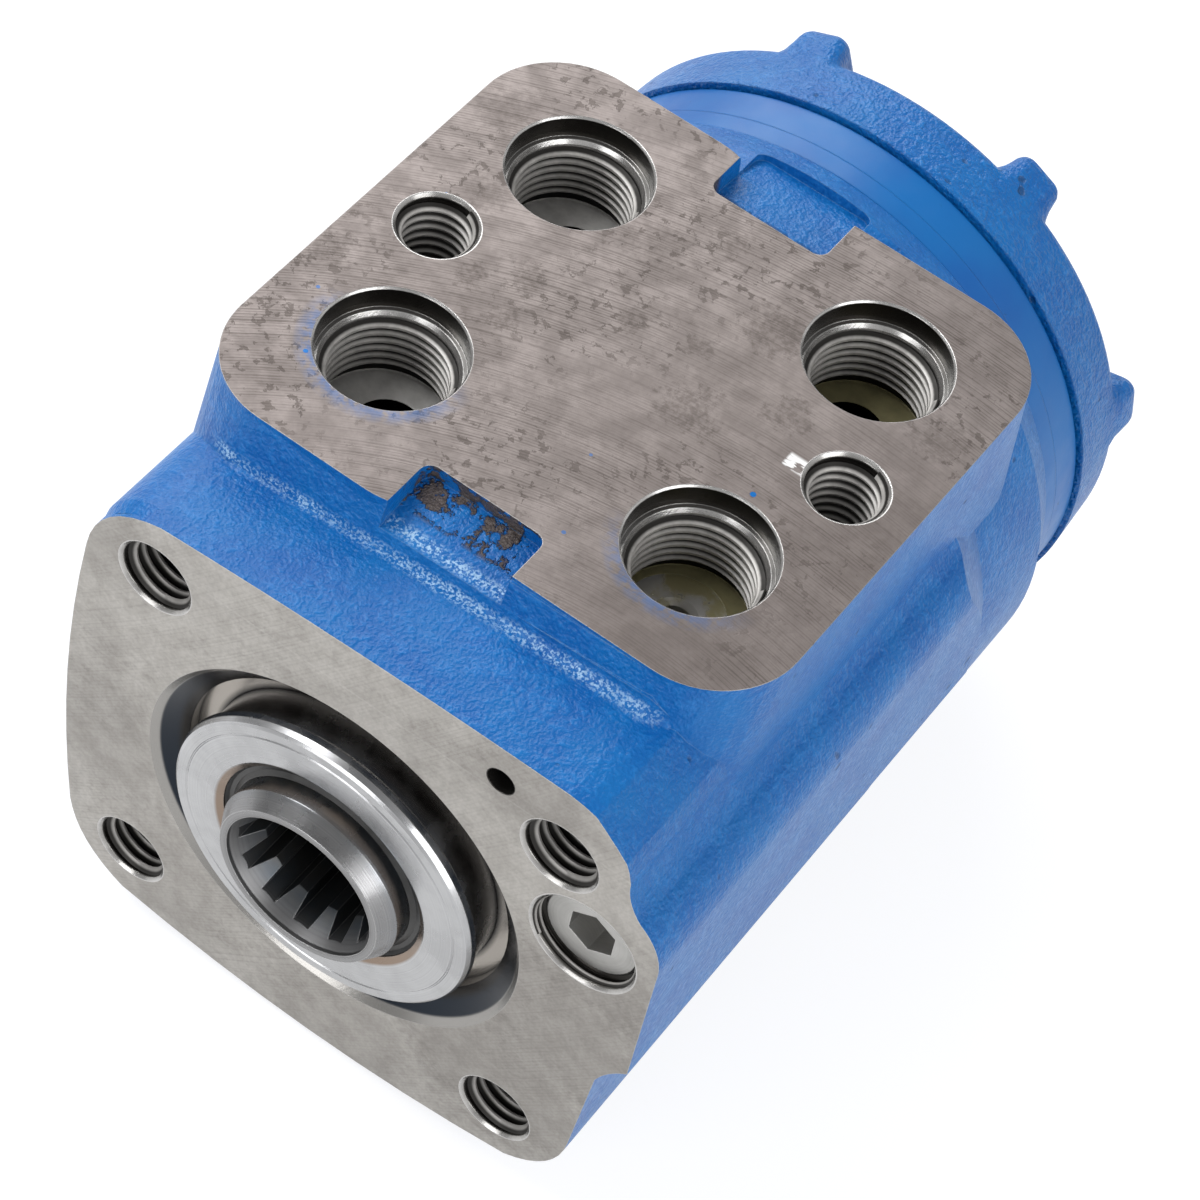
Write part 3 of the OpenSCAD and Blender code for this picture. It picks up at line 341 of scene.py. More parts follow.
class Layers:
    """Builds the shader groups that more than one finish uses."""

    def build(self) -> None:
        """Builds every group once."""
        self.cast_skin()
        self.edge_wear_and_highlight()
        self.round_zone()
        self.stain()
        self.milled_lines()
        self.turned_lines()

    @staticmethod
    def start(layer: Layer, inputs: dict[str, object],
              outputs: list[str]) -> tuple[Graph, dict, bpy.types.Node]:
        """Starts a group with its named sockets.

        Args:
            layer: The group's name.
            inputs: Input names with default numbers, or None for a vector.
            outputs: Names of the number outputs.

        Returns:
            The graph, the input sockets by name and the output node.
        """
        tree = bpy.data.node_groups.new(layer.value, "ShaderNodeTree")
        for name, value in inputs.items():
            kind = "NodeSocketFloat" if isinstance(value, float) else "NodeSocketVector"
            made = tree.interface.new_socket(name=name, in_out="INPUT", socket_type=kind)
            if value is not None:
                made.default_value = value
        for name in outputs:
            tree.interface.new_socket(name=name, in_out="OUTPUT", socket_type="NodeSocketFloat")
        graph = Graph(tree)
        source = graph.node("NodeGroupInput")
        sink = graph.node("NodeGroupOutput")
        return graph, {name: source.outputs[name] for name in inputs}, sink

    def cast_skin(self) -> None:
        """Sand-cast surface under paint: grains of two sizes, soft lumps and a few pits."""
        g, i, out = self.start(Layer.CAST, {"Position": None, "Grain": 900.0, "Coarse": 0.5,
                                            "Lumps": 0.5}, ["Height", "Fleck", "Pit"])
        fine = g.noise(i["Position"], i["Grain"], 1.0, 0.5)
        coarse = g.noise(i["Position"], g.math("MULTIPLY", i["Grain"], 0.4), 1.0, 0.5)
        lumps = g.noise(i["Position"], 150.0, 1.0, 0.5)
        grains = g.blend(i["Coarse"], g.band(fine, 0.25, 0.75), g.band(coarse, 0.25, 0.75))
        height = g.math("ADD", grains, g.math("MULTIPLY", lumps, i["Lumps"]))
        pit = g.band(g.noise(i["Position"], 330.0, 1.0, 0.4), 0.24, 0.2)
        g.plug(g.math("SUBTRACT", height, g.math("MULTIPLY", pit, 0.8)), out.inputs["Height"])
        g.plug(g.band(g.noise(i["Position"], 2700.0, 1.0, 0.6), 0.46, 0.62), out.inputs["Fleck"])
        g.plug(pit, out.inputs["Pit"])

    def edge_wear_and_highlight(self) -> None:
        """Mask of the outer edges, broken up by noise, for edge wear and painted edge highlights."""
        g, i, out = self.start(Layer.WEAR_AND_HIGHLIGHT, {"Position": None, "Radius": 0.0003, "Grain": 900.0,
                                            "Break": 0.35}, ["Mask"])
        soft = g.node("ShaderNodeBevel", samples=6)
        g.plug(i["Radius"], soft.inputs["Radius"])
        plain = g.node("ShaderNodeNewGeometry")
        bend = g.math("SUBTRACT", 1.0, g.vector("DOT_PRODUCT", soft.outputs[0], plain.outputs["Normal"]))
        edge = g.band(bend, 0.02, 0.12)
        gone = g.band(g.noise(i["Position"], i["Grain"], 3.0, 0.6), i["Break"],
                      g.math("ADD", i["Break"], 0.12))
        g.plug(g.math("MULTIPLY", edge, gone), out.inputs["Mask"])

    def round_zone(self) -> None:
        """Mask of a cylinder: centre, the two directions across it, the one along it, radius and ends."""
        g, i, out = self.start(Layer.ZONE, {"Position": None, "Centre": None, "Across": None,
                                            "Along": None, "Radius": 0.01, "Low": 0.0, "High": 1.0,
                                            "Soft": 0.00001}, ["Mask", "Distance"])
        reach = g.vector("LENGTH", g.vector("MULTIPLY", g.vector("SUBTRACT", i["Position"], i["Centre"]),
                                            i["Across"]))
        inside = g.band(reach, i["Radius"], g.math("ADD", i["Radius"], i["Soft"]), 1.0, 0.0)
        along = g.vector("DOT_PRODUCT", i["Position"], i["Along"])
        within = g.math("MULTIPLY", g.math("GREATER_THAN", along, i["Low"]),
                        g.math("LESS_THAN", along, i["High"]))
        g.plug(g.math("MULTIPLY", inside, within), out.inputs["Mask"])
        g.plug(reach, out.inputs["Distance"])

    def stain(self) -> None:
        """Dark spots and clouds with hard, ragged edges."""
        g, i, out = self.start(Layer.STAIN, {"Position": None, "Scale": 100.0, "Limit": 0.6,
                                             "Soft": 0.03}, ["Mask", "Cloud"])
        ragged = g.vector("ADD", i["Position"], g.scaled(g.join(
            g.noise(i["Position"], 900.0), g.noise(i["Position"], 1000.0), 0.0), 0.0012))
        spots = g.noise(ragged, i["Scale"], 4.0, 0.62)
        g.plug(g.band(spots, i["Limit"], g.math("ADD", i["Limit"], i["Soft"])), out.inputs["Mask"])
        g.plug(g.band(g.noise(i["Position"], g.math("MULTIPLY", i["Scale"], 0.35), 3.0, 0.55),
                      0.35, 0.65, smooth=True), out.inputs["Cloud"])

    def milled_lines(self) -> None:
        """Cutter marks: arcs about a far centre, uneven in depth."""
        g, i, out = self.start(Layer.MILLED, {"Position": None, "Centre": None, "Pitch": 0.0006},
                               ["Height", "Tone"])
        reach = g.vector("LENGTH", g.vector("SUBTRACT", i["Position"], i["Centre"]))
        turns = g.math("ADD", g.math("DIVIDE", reach, i["Pitch"]),
                       g.math("MULTIPLY", g.noise(i["Position"], 70.0, 2.0, 0.5), 1.2))
        tracks = []
        for rate, detail in ((1.0, 2.0), (3.1, 3.0)):
            track = g.node("ShaderNodeTexNoise", noise_dimensions="1D")
            g.plug(turns, track.inputs["W"])
            track.inputs["Scale"].default_value = rate
            track.inputs["Detail"].default_value = detail
            tracks.append(track.outputs["Fac"])
        lines = g.math("MULTIPLY_ADD", g.math("SINE", g.math("MULTIPLY", turns, math.tau)), 0.10,
                       g.blend(0.5, tracks[0], tracks[1]))
        torn = g.noise(g.vector("MULTIPLY", i["Position"], (0.35, 1.0, 1.0)), 900.0, 2.0, 0.6)
        lines = g.math("ADD", lines, g.math("MULTIPLY", g.math("SUBTRACT", torn, 0.5), 0.35))
        patchy = g.band(g.noise(i["Position"], 55.0, 2.0, 0.5), 0.35, 0.62)
        g.plug(g.math("MULTIPLY", lines, g.blend(patchy, 0.4, 1.0)), out.inputs["Height"])
        g.plug(g.math("MULTIPLY", g.band(lines, 0.5, 0.36), g.blend(patchy, 0.35, 1.0)), out.inputs["Tone"])

    def turned_lines(self) -> None:
        """Fine turning marks about an axis along Y, on faces and barrels alike."""
        g, i, out = self.start(Layer.TURNED, {"Position": None, "Centre": None, "Pitch": 0.0002},
                               ["Height", "Tone"])
        x, y, z = g.split(g.vector("SUBTRACT", i["Position"], i["Centre"]))
        reach = g.vector("LENGTH", g.join(x, 0.0, z))
        turns = g.math("DIVIDE", g.math("ADD", reach, y), i["Pitch"])
        marks = g.node("ShaderNodeTexNoise", noise_dimensions="1D")
        g.plug(turns, marks.inputs["W"])
        marks.inputs["Scale"].default_value = 1.0
        marks.inputs["Detail"].default_value = 3.0
        g.plug(marks.outputs["Fac"], out.inputs["Height"])
        g.plug(g.band(marks.outputs["Fac"], 0.3, 0.7), out.inputs["Tone"])


class Finish:
    """One finish: it makes a material with a Principled shader and links its maps."""

    def __init__(self, name: str, **plain: object) -> None:
        """Starts the material.

        Args:
            name: The material's name.
            plain: Values for the shader's own sockets, with underscores for spaces.
        """
        self.material = bpy.data.materials.new(name)
        self.material.use_nodes = True
        self.graph = Graph(self.material.node_tree)
        self.shader = self.material.node_tree.nodes["Principled BSDF"]
        self.place = self.graph.node("ShaderNodeTexCoord").outputs["Object"]
        for key, value in plain.items():
            self.shader.inputs[key.replace("_", " ")].default_value = value

    def link(self, **maps: object) -> None:
        """Links maps to the shader's sockets, named with underscores for spaces."""
        for key, value in maps.items():
            self.graph.plug(value, self.shader.inputs[key.replace("_", " ")])

    def bump(self, height: object, depth: float, strength: float = 1.0,
             under: bpy.types.NodeSocket | None = None) -> bpy.types.NodeSocket:
        """Adds a Bump node and feeds the shader's normal.

        Args:
            height: The height map.
            depth: Metres that a height of 1 stands for.
            strength: Weight of the bump.
            under: A normal that it starts from.

        Returns:
            The bumped normal.
        """
        made = self.graph.node("ShaderNodeBump")
        made.inputs["Strength"].default_value = strength
        made.inputs["Distance"].default_value = depth
        self.graph.plug(height, made.inputs["Height"])
        if under is not None:
            self.graph.plug(under, made.inputs["Normal"])
        self.graph.plug(made.outputs[0], self.shader.inputs["Normal"])
        return made.outputs[0]

    def rounded(self, radius: float) -> bpy.types.NodeSocket:
        """Returns a normal that rounds sharp edges by a radius."""
        made = self.graph.node("ShaderNodeBevel", samples=6)
        made.inputs["Radius"].default_value = radius
        return made.outputs[0]

    def zone(self, centre: Point, way: HoleWay, radius: float, low: float, high: float,
             soft: float = 0.00001) -> bpy.types.Node:
        """Places a round mask about a hole's axis.

        Args:
            centre: A point on the axis.
            way: Which way the hole opens.
            radius: The mask's radius.
            low: Lowest station along the axis.
            high: Highest station along the axis.
            soft: Width of its soft rim.

        Returns:
            The group's node, with Mask and Distance.
        """
        along = (0.0, 0.0, 1.0) if way is HoleWay.UP else (0.0, 1.0, 0.0)
        across = (1.0, 1.0, 0.0) if way is HoleWay.UP else (1.0, 0.0, 1.0)
        return self.graph.group(Layer.ZONE, Position=self.place, Centre=centre, Across=across,
                                Along=along, Radius=radius, Low=low, High=high, Soft=soft)


@dataclass
class Sizes:
    """Sizes that the looks share with the solids, in metres."""

    bolt_pitch: float = 58.34 * MM
    bolt_r: float = 5.0 * MM
    port_z: float = 46.9 * MM
    port_x: float = 22.15 * MM
    port_front_y: float = 33.43 * MM
    port_rear_y: float = 71.49 * MM
    port_r: float = 8.33 * MM
    port_spot_r: float = 9.53 * MM
    port_floor_z: float = 32.9 * MM
    top_bolt_x: float = 29.85 * MM
    top_bolt_y: float = 52.48 * MM
    relief: Point = (34.7 * MM, 0.0, 16.1 * MM)
    vent: Point = (20.0 * MM, 0.0, 35.2 * MM)
    dish_r: float = 27.9 * MM
    dish_depth: float = 4.9 * MM
    housing_len: float = 97.9 * MM

    def ports(self) -> list[Point]:
        """Returns the mouths of the four ports."""
        return [(x, y, self.port_z) for x in (-self.port_x, self.port_x)
                for y in (self.port_front_y, self.port_rear_y)]

    def column_holes(self) -> list[Point]:
        """Returns the mouths of the four column bolt holes."""
        half = self.bolt_pitch / 2
        return [(x, 0.0, z) for x in (-half, half) for z in (-half, half)]

    def top_holes(self) -> list[Point]:
        """Returns the mouths of the two bolt holes in the port face."""
        return [(x, self.top_bolt_y, self.port_z) for x in (-self.top_bolt_x, self.top_bolt_x)]


@dataclass(frozen=True)
class Palette:
    """Base colours, as the shader takes them."""

    paint: Colour = (0.002, 0.142, 0.445, 1.0)
    paint_thin: Colour = (0.022, 0.215, 0.590, 1.0)
    paint_deep: Colour = (0.001, 0.110, 0.400, 1.0)
    glint: Colour = (0.420, 0.640, 0.860, 1.0)
    iron: Colour = (0.288, 0.254, 0.242, 1.0)
    # Lighter than the port face's iron, partly for its smoother finish and partly as painted light falling on
    # the mounting face.
    iron_front_lit: Colour = (0.500, 0.482, 0.455, 1.0)
    iron_dark: Colour = (0.085, 0.070, 0.063, 1.0)
    residue: Colour = (0.118, 0.096, 0.090, 1.0)
    cut: Colour = (0.600, 0.590, 0.580, 1.0)
    ledge: Colour = (0.360, 0.350, 0.335, 1.0)
    # Dark blue-grey of the dish, partly painted shade.
    dish: Colour = (0.022, 0.028, 0.038, 1.0)
    dish_ring: Colour = (0.400, 0.370, 0.335, 1.0)
    # Painted shade: the dark colour of the ports' counterbore walls.
    bore: Colour = (0.062, 0.058, 0.050, 1.0)
    brown: Colour = (0.290, 0.225, 0.180, 1.0)
    floor: Colour = (0.800, 0.785, 0.760, 1.0)
    turned: Colour = (0.540, 0.545, 0.558, 1.0)
    ground: Colour = (0.300, 0.300, 0.305, 1.0)
    crest: Colour = (0.660, 0.640, 0.615, 1.0)
    # Near black: painted shade in the thread roots, the holes and the dish, and dirt in the bores' smudges.
    root: Colour = (0.022, 0.020, 0.018, 1.0)
    oil: Colour = (0.330, 0.300, 0.160, 1.0)
    # Black: the rubber's own colour, and painted shade deep in the ports.
    black: Colour = (0.012, 0.012, 0.012, 1.0)
    pit: Colour = (0.004, 0.030, 0.09, 1.0)
    dirt: Colour = (0.01, 0.03, 0.06, 1.0)
    # Painted highlight: lighter blue along the paint's outer edges.
    paint_edge_highlight: Colour = (0.10, 0.24, 0.46, 1.0)
    vent: Colour = (0.09, 0.085, 0.08, 1.0)
    # Near white: a real scuff on the port face, and a painted highlight on the turned steel's edges.
    rub_and_rim_highlight: Colour = (0.8, 0.8, 0.8, 1.0)
    # Painted highlight on the spool's edges and lip.
    neck_rim_highlight: Colour = (0.75, 0.75, 0.75, 1.0)
    dark_steel: Colour = (0.10, 0.10, 0.105, 1.0)
    plug: Colour = (0.52, 0.515, 0.50, 1.0)
    brass: Colour = (0.50, 0.34, 0.13, 1.0)
    heat_blue: Colour = (0.10, 0.17, 0.26, 1.0)
    heat_straw: Colour = (0.30, 0.27, 0.22, 1.0)
    turned_line: Colour = (0.16, 0.16, 0.165, 1.0)
    steel_pit: Colour = (0.05, 0.05, 0.055, 1.0)
    # Painted shade inside the spool's spline bore.
    spline_shade: Colour = (0.030, 0.028, 0.026, 1.0)
    seat_oil: Colour = (0.56, 0.51, 0.29, 1.0)
    dust: Colour = (0.05, 0.05, 0.05, 1.0)


@dataclass(frozen=True)
class Mark:
    """A mark on a face, such as a stain, a dot of stray paint or a patch of painted shade: centre across and
    along in millimetres, radius and strength.
    """

    u: float
    v: float
    radius: float
    strength: float


FACE_SKIN = 0.00004
PORTS_ABOVE = 0.0335

TOP_STAINS = (Mark(9.4, 49.4, 5.2, 0.75), Mark(10.4, 66.3, 4.6, 0.7), Mark(18.6, 57.0, 3.6, 0.7),
              Mark(-22.5, 49.0, 3.0, 0.8), Mark(-16.5, 52.9, 2.8, 0.7), Mark(-15.4, 46.0, 2.6, 0.75),
              Mark(-3.4, 56.2, 2.2, 0.7), Mark(4.9, 58.4, 2.4, 0.7), Mark(-1.8, 74.8, 3.0, 0.6),
              Mark(-28.0, 61.0, 3.4, 0.45), Mark(-36.8, 41.0, 3.2, 0.6), Mark(-35.0, 74.0, 5.0, 0.35),
              Mark(34.5, 66.0, 4.2, 0.45), Mark(35.4, 28.0, 4.6, 0.5), Mark(-8.0, 68.0, 5.0, 0.35))
TOP_CLOUDS = (Mark(27.0, 21.5, 11.0, 0.42), Mark(36.0, 47.0, 11.0, 0.34), Mark(36.0, 32.0, 9.0, 0.30),
              Mark(30.0, 82.0, 8.0, 0.22), Mark(8.0, 44.0, 13.0, 0.16), Mark(-20.0, 44.0, 9.0, 0.14))
# Painted shade: dark patches that leave the mounting face lighter at its top than towards its edges.
FRONT_SHADE = (Mark(34.0, -4.0, 17.0, 0.30), Mark(24.0, 36.0, 9.0, 0.22), Mark(28.0, -22.0, 17.0, 0.30),
                Mark(-34.0, -8.0, 13.0, 0.20), Mark(-36.0, 30.0, 9.0, 0.18), Mark(5.0, -36.0, 15.0, 0.20),
                Mark(38.0, 12.0, 10.0, 0.30), Mark(-22.0, -30.0, 12.0, 0.16))
TOP_DOTS = (Mark(-32.1, 57.3, 0.45, 0.9), Mark(-29.4, 26.2, 0.5, 0.9), Mark(22.1, 44.2, 0.62, 0.95),
            Mark(8.8, 24.9, 0.4, 0.6), Mark(4.6, 36.2, 0.35, 0.5), Mark(-34.4, 35.0, 0.4, 0.6))


class Finishes:
    """All materials of the unit, made once."""

    def __init__(self, sizes: Sizes, colours: Palette) -> None:
        """Builds the shared layers and every finish.

        Args:
            sizes: The unit's sizes.
            colours: Its colours.
        """
        self.sizes = sizes
        self.colours = colours
        Layers().build()
        self.housing = self.cast_housing()
        self.cover = self.cast_paint("BlueCover", 2100.0, 0.00028, 0.0006)
        self.band = self.smooth_paint()
        self.gland = self.turned("GlandSteel", colours.turned, 0.22, 0.00016, brown=0.01588)
        self.washer = self.turned("WasherSteel", colours.turned, 0.26, 0.0002)
        self.spool = self.tinted_spool()
        self.steel = self.turned("GroundSteel", colours.ground, 0.3, 0.0002)
        self.dark = self.turned("DarkSteel", colours.dark_steel, 0.38, 0.0004)
        self.plug = self.turned("PlugSteel", colours.plug, 0.46, 0.0003,
                                (sizes.relief[0], 0.0, sizes.relief[2]))
        self.thread = self.cut_thread()
        self.seat = self.oily_seat()
        self.rubber = self.seal_rubber()
        self.cage = self.turned("CageBrass", colours.brass, 0.35, 0.0003)

    def paint_maps(self, finish: Finish, grain: float) -> tuple:
        """Colour, roughness and height of the enamel over cast iron.

        Args:
            finish: The finish that takes them.
            grain: Grains per metre.

        Returns:
            The colour, the roughness, the height and the fleck mask.
        """
        g, p = finish.graph, finish.place
        skin = g.group(Layer.CAST, Position=p, Grain=grain, Coarse=0.5, Lumps=0.6)
        tone = g.band(g.noise(p, 120.0, 3.0, 0.6), 0.35, 0.65)
        colour = g.mix(tone, self.colours.paint_deep, self.colours.paint)
        thin = g.math("MULTIPLY", g.band(skin.outputs["Height"], 0.75, 1.2), 0.55)
        colour = g.mix(thin, colour, self.colours.paint_thin)
        colour = g.mix(g.math("MULTIPLY", skin.outputs["Pit"], 0.6), colour, self.colours.pit)
        rough = g.band(skin.outputs["Height"], 0.2, 1.4, 0.42, 0.26)
        return colour, rough, skin.outputs["Height"], skin.outputs["Fleck"]

    def cast_paint(self, name: str, grain: float, depth: float, edge: float) -> bpy.types.Material:
        """Enamel over a rough casting.

        Args:
            name: The material's name.
            grain: Grains per metre.
            depth: Depth of the grain in metres.
            edge: Radius of the rounded edges.

        Returns:
            The material.
        """
        finish = Finish(name, Metallic=0.0, Specular_IOR_Level=0.42)
        colour, rough, height, _ = self.paint_maps(finish, grain)
        finish.link(Base_Color=colour, Roughness=rough)
        finish.bump(height, depth, 1.0, finish.rounded(edge))
        return finish.material

    def smooth_paint(self) -> bpy.types.Material:
        """Enamel over turned steel, smooth, with a little dirt."""
        finish = Finish("BlueBand", Metallic=0.0, Specular_IOR_Level=0.45)
        g, p = finish.graph, finish.place
        tone = g.band(g.noise(p, 60.0, 3.0, 0.5), 0.35, 0.65, smooth=True)
        colour = g.mix(tone, self.colours.paint_deep, self.colours.paint)
        dirt = g.group(Layer.STAIN, Position=p, Scale=420.0, Limit=0.68, Soft=0.04)
        where = g.band(g.noise(p, 70.0, 1.0), 0.5, 0.62)
        colour = g.mix(g.math("MULTIPLY", g.math("MULTIPLY", dirt.outputs["Mask"], where), 0.8), colour,
                       self.colours.dirt)
        finish.link(Base_Color=colour, Roughness=g.band(g.noise(p, 300.0, 3.0), 0.3, 0.7, 0.3, 0.42))
        finish.bump(g.noise(p, 900.0, 2.0), 0.00002, 1.0, finish.rounded(0.0003))
        return finish.material

    def cast_housing(self) -> bpy.types.Material:
        """Painted casting whose faces and bores are machined bare."""
        s, c = self.sizes, self.colours
        finish = Finish("HousingIron", Specular_IOR_Level=0.36)
        g, p = finish.graph, finish.place
        _, y, z = g.split(p)
        front = g.math("LESS_THAN", y, FACE_SKIN)
        top = g.math("GREATER_THAN", z, s.port_z - FACE_SKIN)
        holes, hole_colour, flat = self.hole_looks(finish)
        bare = g.most(front, top, holes)
        paint, paint_rough, skin, fleck = self.paint_maps(finish, 2300.0)
        paint = self.crease_glints(finish, paint, fleck)
        lump, lump_mask = self.notch_residue(finish)
        paint = g.mix(lump_mask, paint, g.mix(fleck, c.residue, c.iron_dark))
        rim = g.group(Layer.WEAR_AND_HIGHLIGHT, Position=p, Radius=0.0002, Grain=1400.0, Break=0.3)
        iron, cut_height, cloud = self.machined(finish, top)
        # The rim mask lightens outer edges: on the bare iron, cut metal that is partly a painted highlight;
        # on the paint, a painted highlight.
        iron = g.mix(g.math("MULTIPLY", rim.outputs["Mask"], 0.85), iron, c.cut)
        painted = g.mix(g.math("MULTIPLY", rim.outputs["Mask"], 0.55), paint, c.paint_edge_highlight)
        finish.link(
            Base_Color=g.mix(bare, painted, g.mix(holes, iron, hole_colour)),
            Metallic=g.math("MULTIPLY", bare, g.blend(flat, 0.85, 0.1)),
            Roughness=g.blend(bare, paint_rough, g.blend(holes, g.blend(cloud, 0.42, 0.55), 0.24)))
        height = g.blend(bare, g.math("ADD", skin, g.math("MULTIPLY", lump, lump_mask)), cut_height)
        finish.bump(height, 0.00015, 1.0, finish.rounded(0.00018))
        return finish.material

    def hole_looks(self, finish: Finish) -> tuple:
        """Masks and colours of everything bored into the casting.

        Args:
            finish: The housing's finish.

        Returns:
            The mask of all holes, their colour and the mask of the ports' flat floors.
        """
        g, p, s, c = finish.graph, finish.place, self.sizes, self.colours
        x, y, z = g.split(p)
        ports = [finish.zone(m, HoleWay.UP, s.port_spot_r, 0.0, 1.0) for m in s.ports()]
        fronts = [finish.zone(m, HoleWay.FRONT, s.bolt_r + 0.0005, -1.0, 0.024) for m in s.column_holes()]
        tops = [finish.zone(m, HoleWay.UP, s.bolt_r + 0.0005, 0.02, 1.0) for m in s.top_holes()]
        relief = finish.zone(s.relief, HoleWay.FRONT, 0.0076, -1.0, 0.045)
        vent = finish.zone(s.vent, HoleWay.FRONT, 0.002, -1.0, 0.011)
        dish = finish.zone((0.0, 0.0, 0.0), HoleWay.FRONT, s.dish_r + 0.00002, -1.0, 0.2)
        depth = g.math("SUBTRACT", s.port_z, z)
        smudge = g.band(g.noise(p, 420.0, 3.0, 0.6), 0.35, 0.7)
        floor = g.mix(g.math("GREATER_THAN", x, 0.0), c.floor, c.oil)
        # Painted shade: these ramps darken the hole walls in bands and to black with depth; their light bands
        # are cut chamfers.
        port = g.ramp(depth, 0.02, [(0.0, c.cut), (0.00022, c.cut), (0.00034, c.root),
                                    (0.0030, c.bore), (0.0032, c.bore), (0.00335, c.cut),
                                    (0.0041, c.cut), (0.0045, c.root), (0.0136, c.black)])
        flat = g.within(depth, 0.01385, 0.0141, 0.00005)
        port = g.mix(flat, port, floor)
        tap = [(0.0, c.cut), (0.0004, c.ledge), (0.0007, c.root), (0.02, c.black)]
        bore = g.mix(g.most(*[n.outputs["Mask"] for n in fronts], relief.outputs["Mask"]), port,
                     g.ramp(y, 0.03, tap))
        bore = g.mix(g.most(*[n.outputs["Mask"] for n in tops]), bore, g.ramp(depth, 0.03, tap))
        bore = g.mix(vent.outputs["Mask"], bore, c.vent)
        # Painted shade: near-black bands beside the gland and at the dish's step, and a dark dish band that
        # is partly painted shade; the light bands are the tan ring and the cut chamfer.
        wall = g.ramp(dish.outputs["Distance"], 0.03,
                      [(0.0213, c.root), (0.0221, c.dish_ring), (0.0238, c.dish_ring),
                       (0.0241, c.root), (0.0247, c.root), (0.0254, c.dish), (0.0269, c.dish),
                       (0.0271, c.ledge), (0.0279, c.ledge)])
        bore = g.mix(g.math("MULTIPLY", smudge, 0.25), bore, c.root)
        bore = g.mix(dish.outputs["Mask"], bore, wall)
        every = [n.outputs["Mask"] for n in (*ports, *fronts, *tops, relief, vent, dish)]
        return g.most(*every), bore, flat

    def crease_glints(self, finish: Finish, paint: bpy.types.NodeSocket,
                      fleck: bpy.types.NodeSocket) -> bpy.types.NodeSocket:
        """Painted highlight: speckled glints painted in the concave foot of the port pad and along the front
        notch's lower edge.

        Args:
            finish: The housing's finish.
            paint: The paint's colour.
            fleck: Mask of fine flecks.

        Returns:
            The paint's colour with its glints.
        """
        g, p = finish.graph, finish.place
        x, y, z = g.split(p)
        foot = g.vector("LENGTH", g.join(0.0, g.math("SUBTRACT", y, g.math("MULTIPLY_ADD", x, 0.014, 0.0136)),
                                         g.math("SUBTRACT", z, g.math("MULTIPLY_ADD", x, 0.038, 0.0407))))
        lip = g.vector("LENGTH", g.join(0.0, g.math("SUBTRACT", y, 0.0156), g.math("SUBTRACT", z, 0.0431)))
        along = g.within(x, -0.031, 0.033, 0.003)
        short = g.within(x, -0.0085, 0.0075, 0.0006)
        uneven = g.band(g.noise(p, 260.0, 2.0, 0.6), 0.3, 0.7, 0.35, 1.0)
        mask = g.most(g.math("MULTIPLY", g.band(foot, 0.0013, 0.0004), along),
                      g.math("MULTIPLY", g.band(lip, 0.0013, 0.0004), short))
        mask = g.math("MULTIPLY", g.math("MULTIPLY", mask, uneven), fleck)
        # Painted highlight: the bluish-white glint colour is mixed into the paint along these two lines.
        return g.mix(mask, paint, self.colours.glint)

    def notch_residue(self, finish: Finish) -> tuple:
        """Rough, brown casting residue in the two notches of the port face.

        Args:
            finish: The housing's finish.

        Returns:
            Its height and its mask.
        """
        g, p = finish.graph, finish.place
        x, y, z = g.split(p)
        near = g.math("MULTIPLY", g.within(x, -0.0095, 0.0085, 0.0002), g.within(z, 0.0424, 0.0468, 0.0002))
        ends = g.most(g.within(y, 0.0185, 0.0236, 0.0008), g.within(y, 0.0790, 0.0826, 0.0010))
        ragged = g.math("MULTIPLY_ADD", g.math("GREATER_THAN", y, 0.05), 0.05, g.noise(p, 330.0, 4.0, 0.65))
        mask = g.math("MULTIPLY", g.math("MULTIPLY", near, ends), g.band(ragged, 0.5, 0.545))
        return g.math("MULTIPLY", g.noise(p, 900.0, 3.0, 0.7), 7.0), mask

    def machined(self, finish: Finish, top: bpy.types.NodeSocket) -> tuple:
        """Milled port face and mounting face, with stains, scuffs and stray paint, and painted shade and
        painted light on the mounting face.

        Args:
            finish: The housing's finish.
            top: Mask of the port face.

        Returns:
            The colour, the height and a cloud mask.
        """
        g, p, s, c = finish.graph, finish.place, self.sizes, self.colours
        mill_top = g.group(Layer.MILLED, Position=p, Centre=(0.0237, -0.0468, s.port_z), Pitch=0.00042)
        mill_front = g.group(Layer.MILLED, Position=p, Centre=(-0.25, 0.0, 0.22), Pitch=0.0005)
        grit = g.band(g.noise(p, 1500.0, 3.0, 0.65), 0.40, 0.60)
        tone = g.blend(
            top,
            g.math("MULTIPLY_ADD", mill_front.outputs["Tone"], 0.12, g.math("MULTIPLY", grit, 0.13)),
            g.math("MULTIPLY_ADD", mill_top.outputs["Tone"], 0.52, g.math("MULTIPLY", grit, 0.10)))
        specks = g.group(Layer.STAIN, Position=p, Scale=720.0, Limit=0.578, Soft=0.02)
        cloud = specks.outputs["Cloud"]
        dense = g.band(g.noise(p, 60.0, 2.0, 0.5), 0.38, 0.56)
        iron = g.mix(top, c.iron_front_lit, c.iron)
        iron = g.mix(tone, iron, c.iron_dark)
        iron = g.mix(g.math("MULTIPLY", cloud, g.blend(top, 0.10, 0.16)), iron, c.iron_dark)
        small = g.math("MULTIPLY", g.math("MULTIPLY", specks.outputs["Mask"], dense),
                       g.blend(top, 0.12, 0.62))
        ragged = g.noise(p, 520.0, 5.0, 0.72)
        stains = g.math("MULTIPLY", self.marks(finish, TOP_STAINS, ragged, 2.8, 0.3),
                        g.blend(grit, 0.45, 1.0))
        stains = g.most(g.math("MULTIPLY", stains, 0.7), self.marks(finish, TOP_CLOUDS, ragged, 0.9, 1.3))
        iron = g.mix(g.most(small, g.math("MULTIPLY", stains, top)), iron, c.iron_dark)
